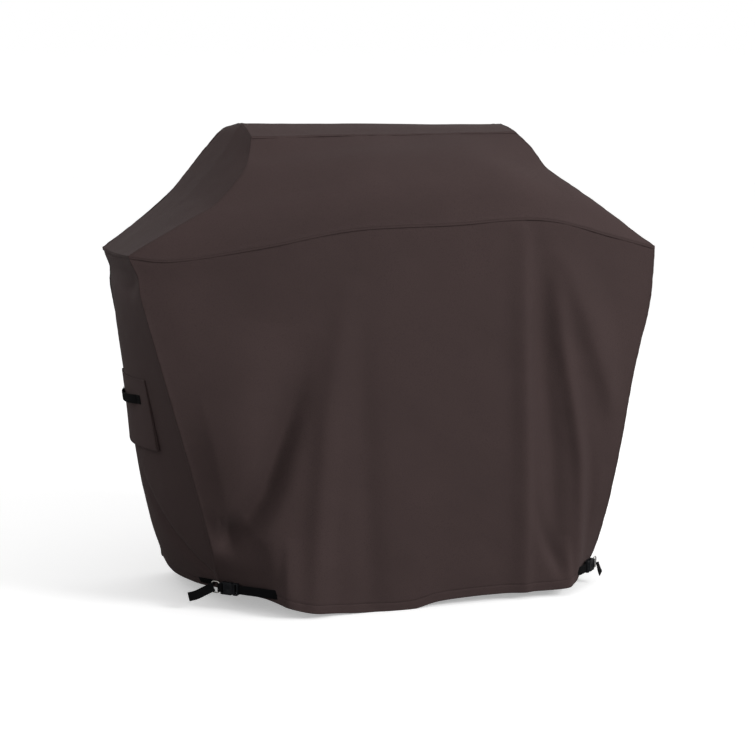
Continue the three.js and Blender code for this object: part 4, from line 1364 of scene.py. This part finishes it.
def area_light(name, position, target, size, power):
    light = bpy.data.lights.new(name, "AREA")
    light.shape = "RECTANGLE"
    light.size, light.size_y = size
    light.energy = power
    lamp = bpy.data.objects.new(name, light)
    lamp.location = position
    lamp.rotation_euler = (Vector(target) - Vector(position)).to_track_quat("-Z", "Y").to_euler()
    bpy.context.scene.collection.objects.link(lamp)


def stage():
    floor_points = np.array([[(x, y, -SAG - 0.0005) for x in (-40, 40)] for y in (60, -20)], float)
    floor = grid_object("floor", floor_points, ["floor"])
    floor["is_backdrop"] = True
    world = bpy.data.worlds.new("studio")
    world.use_nodes = True
    tree = world.node_tree
    seen = tree.nodes.new("ShaderNodeLightPath").outputs["Is Camera Ray"]
    direction = tree.nodes.new("ShaderNodeTexCoord").outputs["Generated"]
    upward = link(tree, "ShaderNodeSeparateXYZ", {0: direction}).outputs["Z"]
    light = link(tree, "ShaderNodeMapRange", {0: upward, 3: WORLD_LIGHT["horizon"],
                                              4: WORLD_LIGHT["zenith"]}).outputs[0]
    strength = maths(tree, "MAXIMUM", seen, light)
    tree.nodes["Background"].inputs["Color"].default_value = (1, 1, 1, 1)
    tree.links.new(strength, tree.nodes["Background"].inputs["Strength"])
    bpy.context.scene.world = world
    bpy.context.scene.view_settings.view_transform = "Standard"
    centre = (0, 0, 0.65)
    area_light("key", (4.2, -4.6, 3.4), centre, (2.2, 2.2), 260)
    area_light("top", (0.6, -0.8, 4.6), centre, (3.0, 3.0), 8)


def camera():
    lens = bpy.data.cameras.new("photo_view")
    lens.lens = 80.5
    lens.sensor_width = 36
    lens.clip_end = 200
    view = bpy.data.objects.new("photo_view", lens)
    view.location = (-1.370, -4.567, 1.238 + SAG)
    aim = Vector((0.007, 0, 0.576 + SAG)) - view.location
    view.rotation_euler = aim.to_track_quat("-Z", "Y").to_euler()
    bpy.context.scene.collection.objects.link(view)
    bpy.context.scene.camera = view


def floor_material():
    """A white floor with the cover's shadow on it, which throws little light back up."""
    material, tree, shader = new_material("white_floor", (0.98, 0.98, 0.98), 0.9)
    shader.inputs["Specular IOR Level"].default_value = 0.0
    shader.inputs["Emission Color"].default_value = (1, 1, 1, 1)
    shader.inputs["Emission Strength"].default_value = 0.36
    grey = link(tree, "ShaderNodeBsdfDiffuse", {"Color": (0.22, 0.22, 0.22, 1)})
    seen = tree.nodes.new("ShaderNodeLightPath").outputs["Is Camera Ray"]
    blend = link(tree, "ShaderNodeMixShader", {0: seen, 1: grey.outputs[0], 2: shader.outputs[0]})
    tree.links.new(blend.outputs[0], tree.nodes["Material Output"].inputs["Surface"])
    return material


MATERIALS["floor"] = floor_material()
camera()
stage()
cover_cloth()
for end in ("left", "right"):
    vent(end)
    anchor(end)
    ring(end)
    link_loop(end)
    tail(end)
    front_strap(end)
    socket(end)
    plug(end)

SIZES = {"cad": [list(corner) for corner in CAD_BOX],
         "visual": [list(corner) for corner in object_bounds()]}
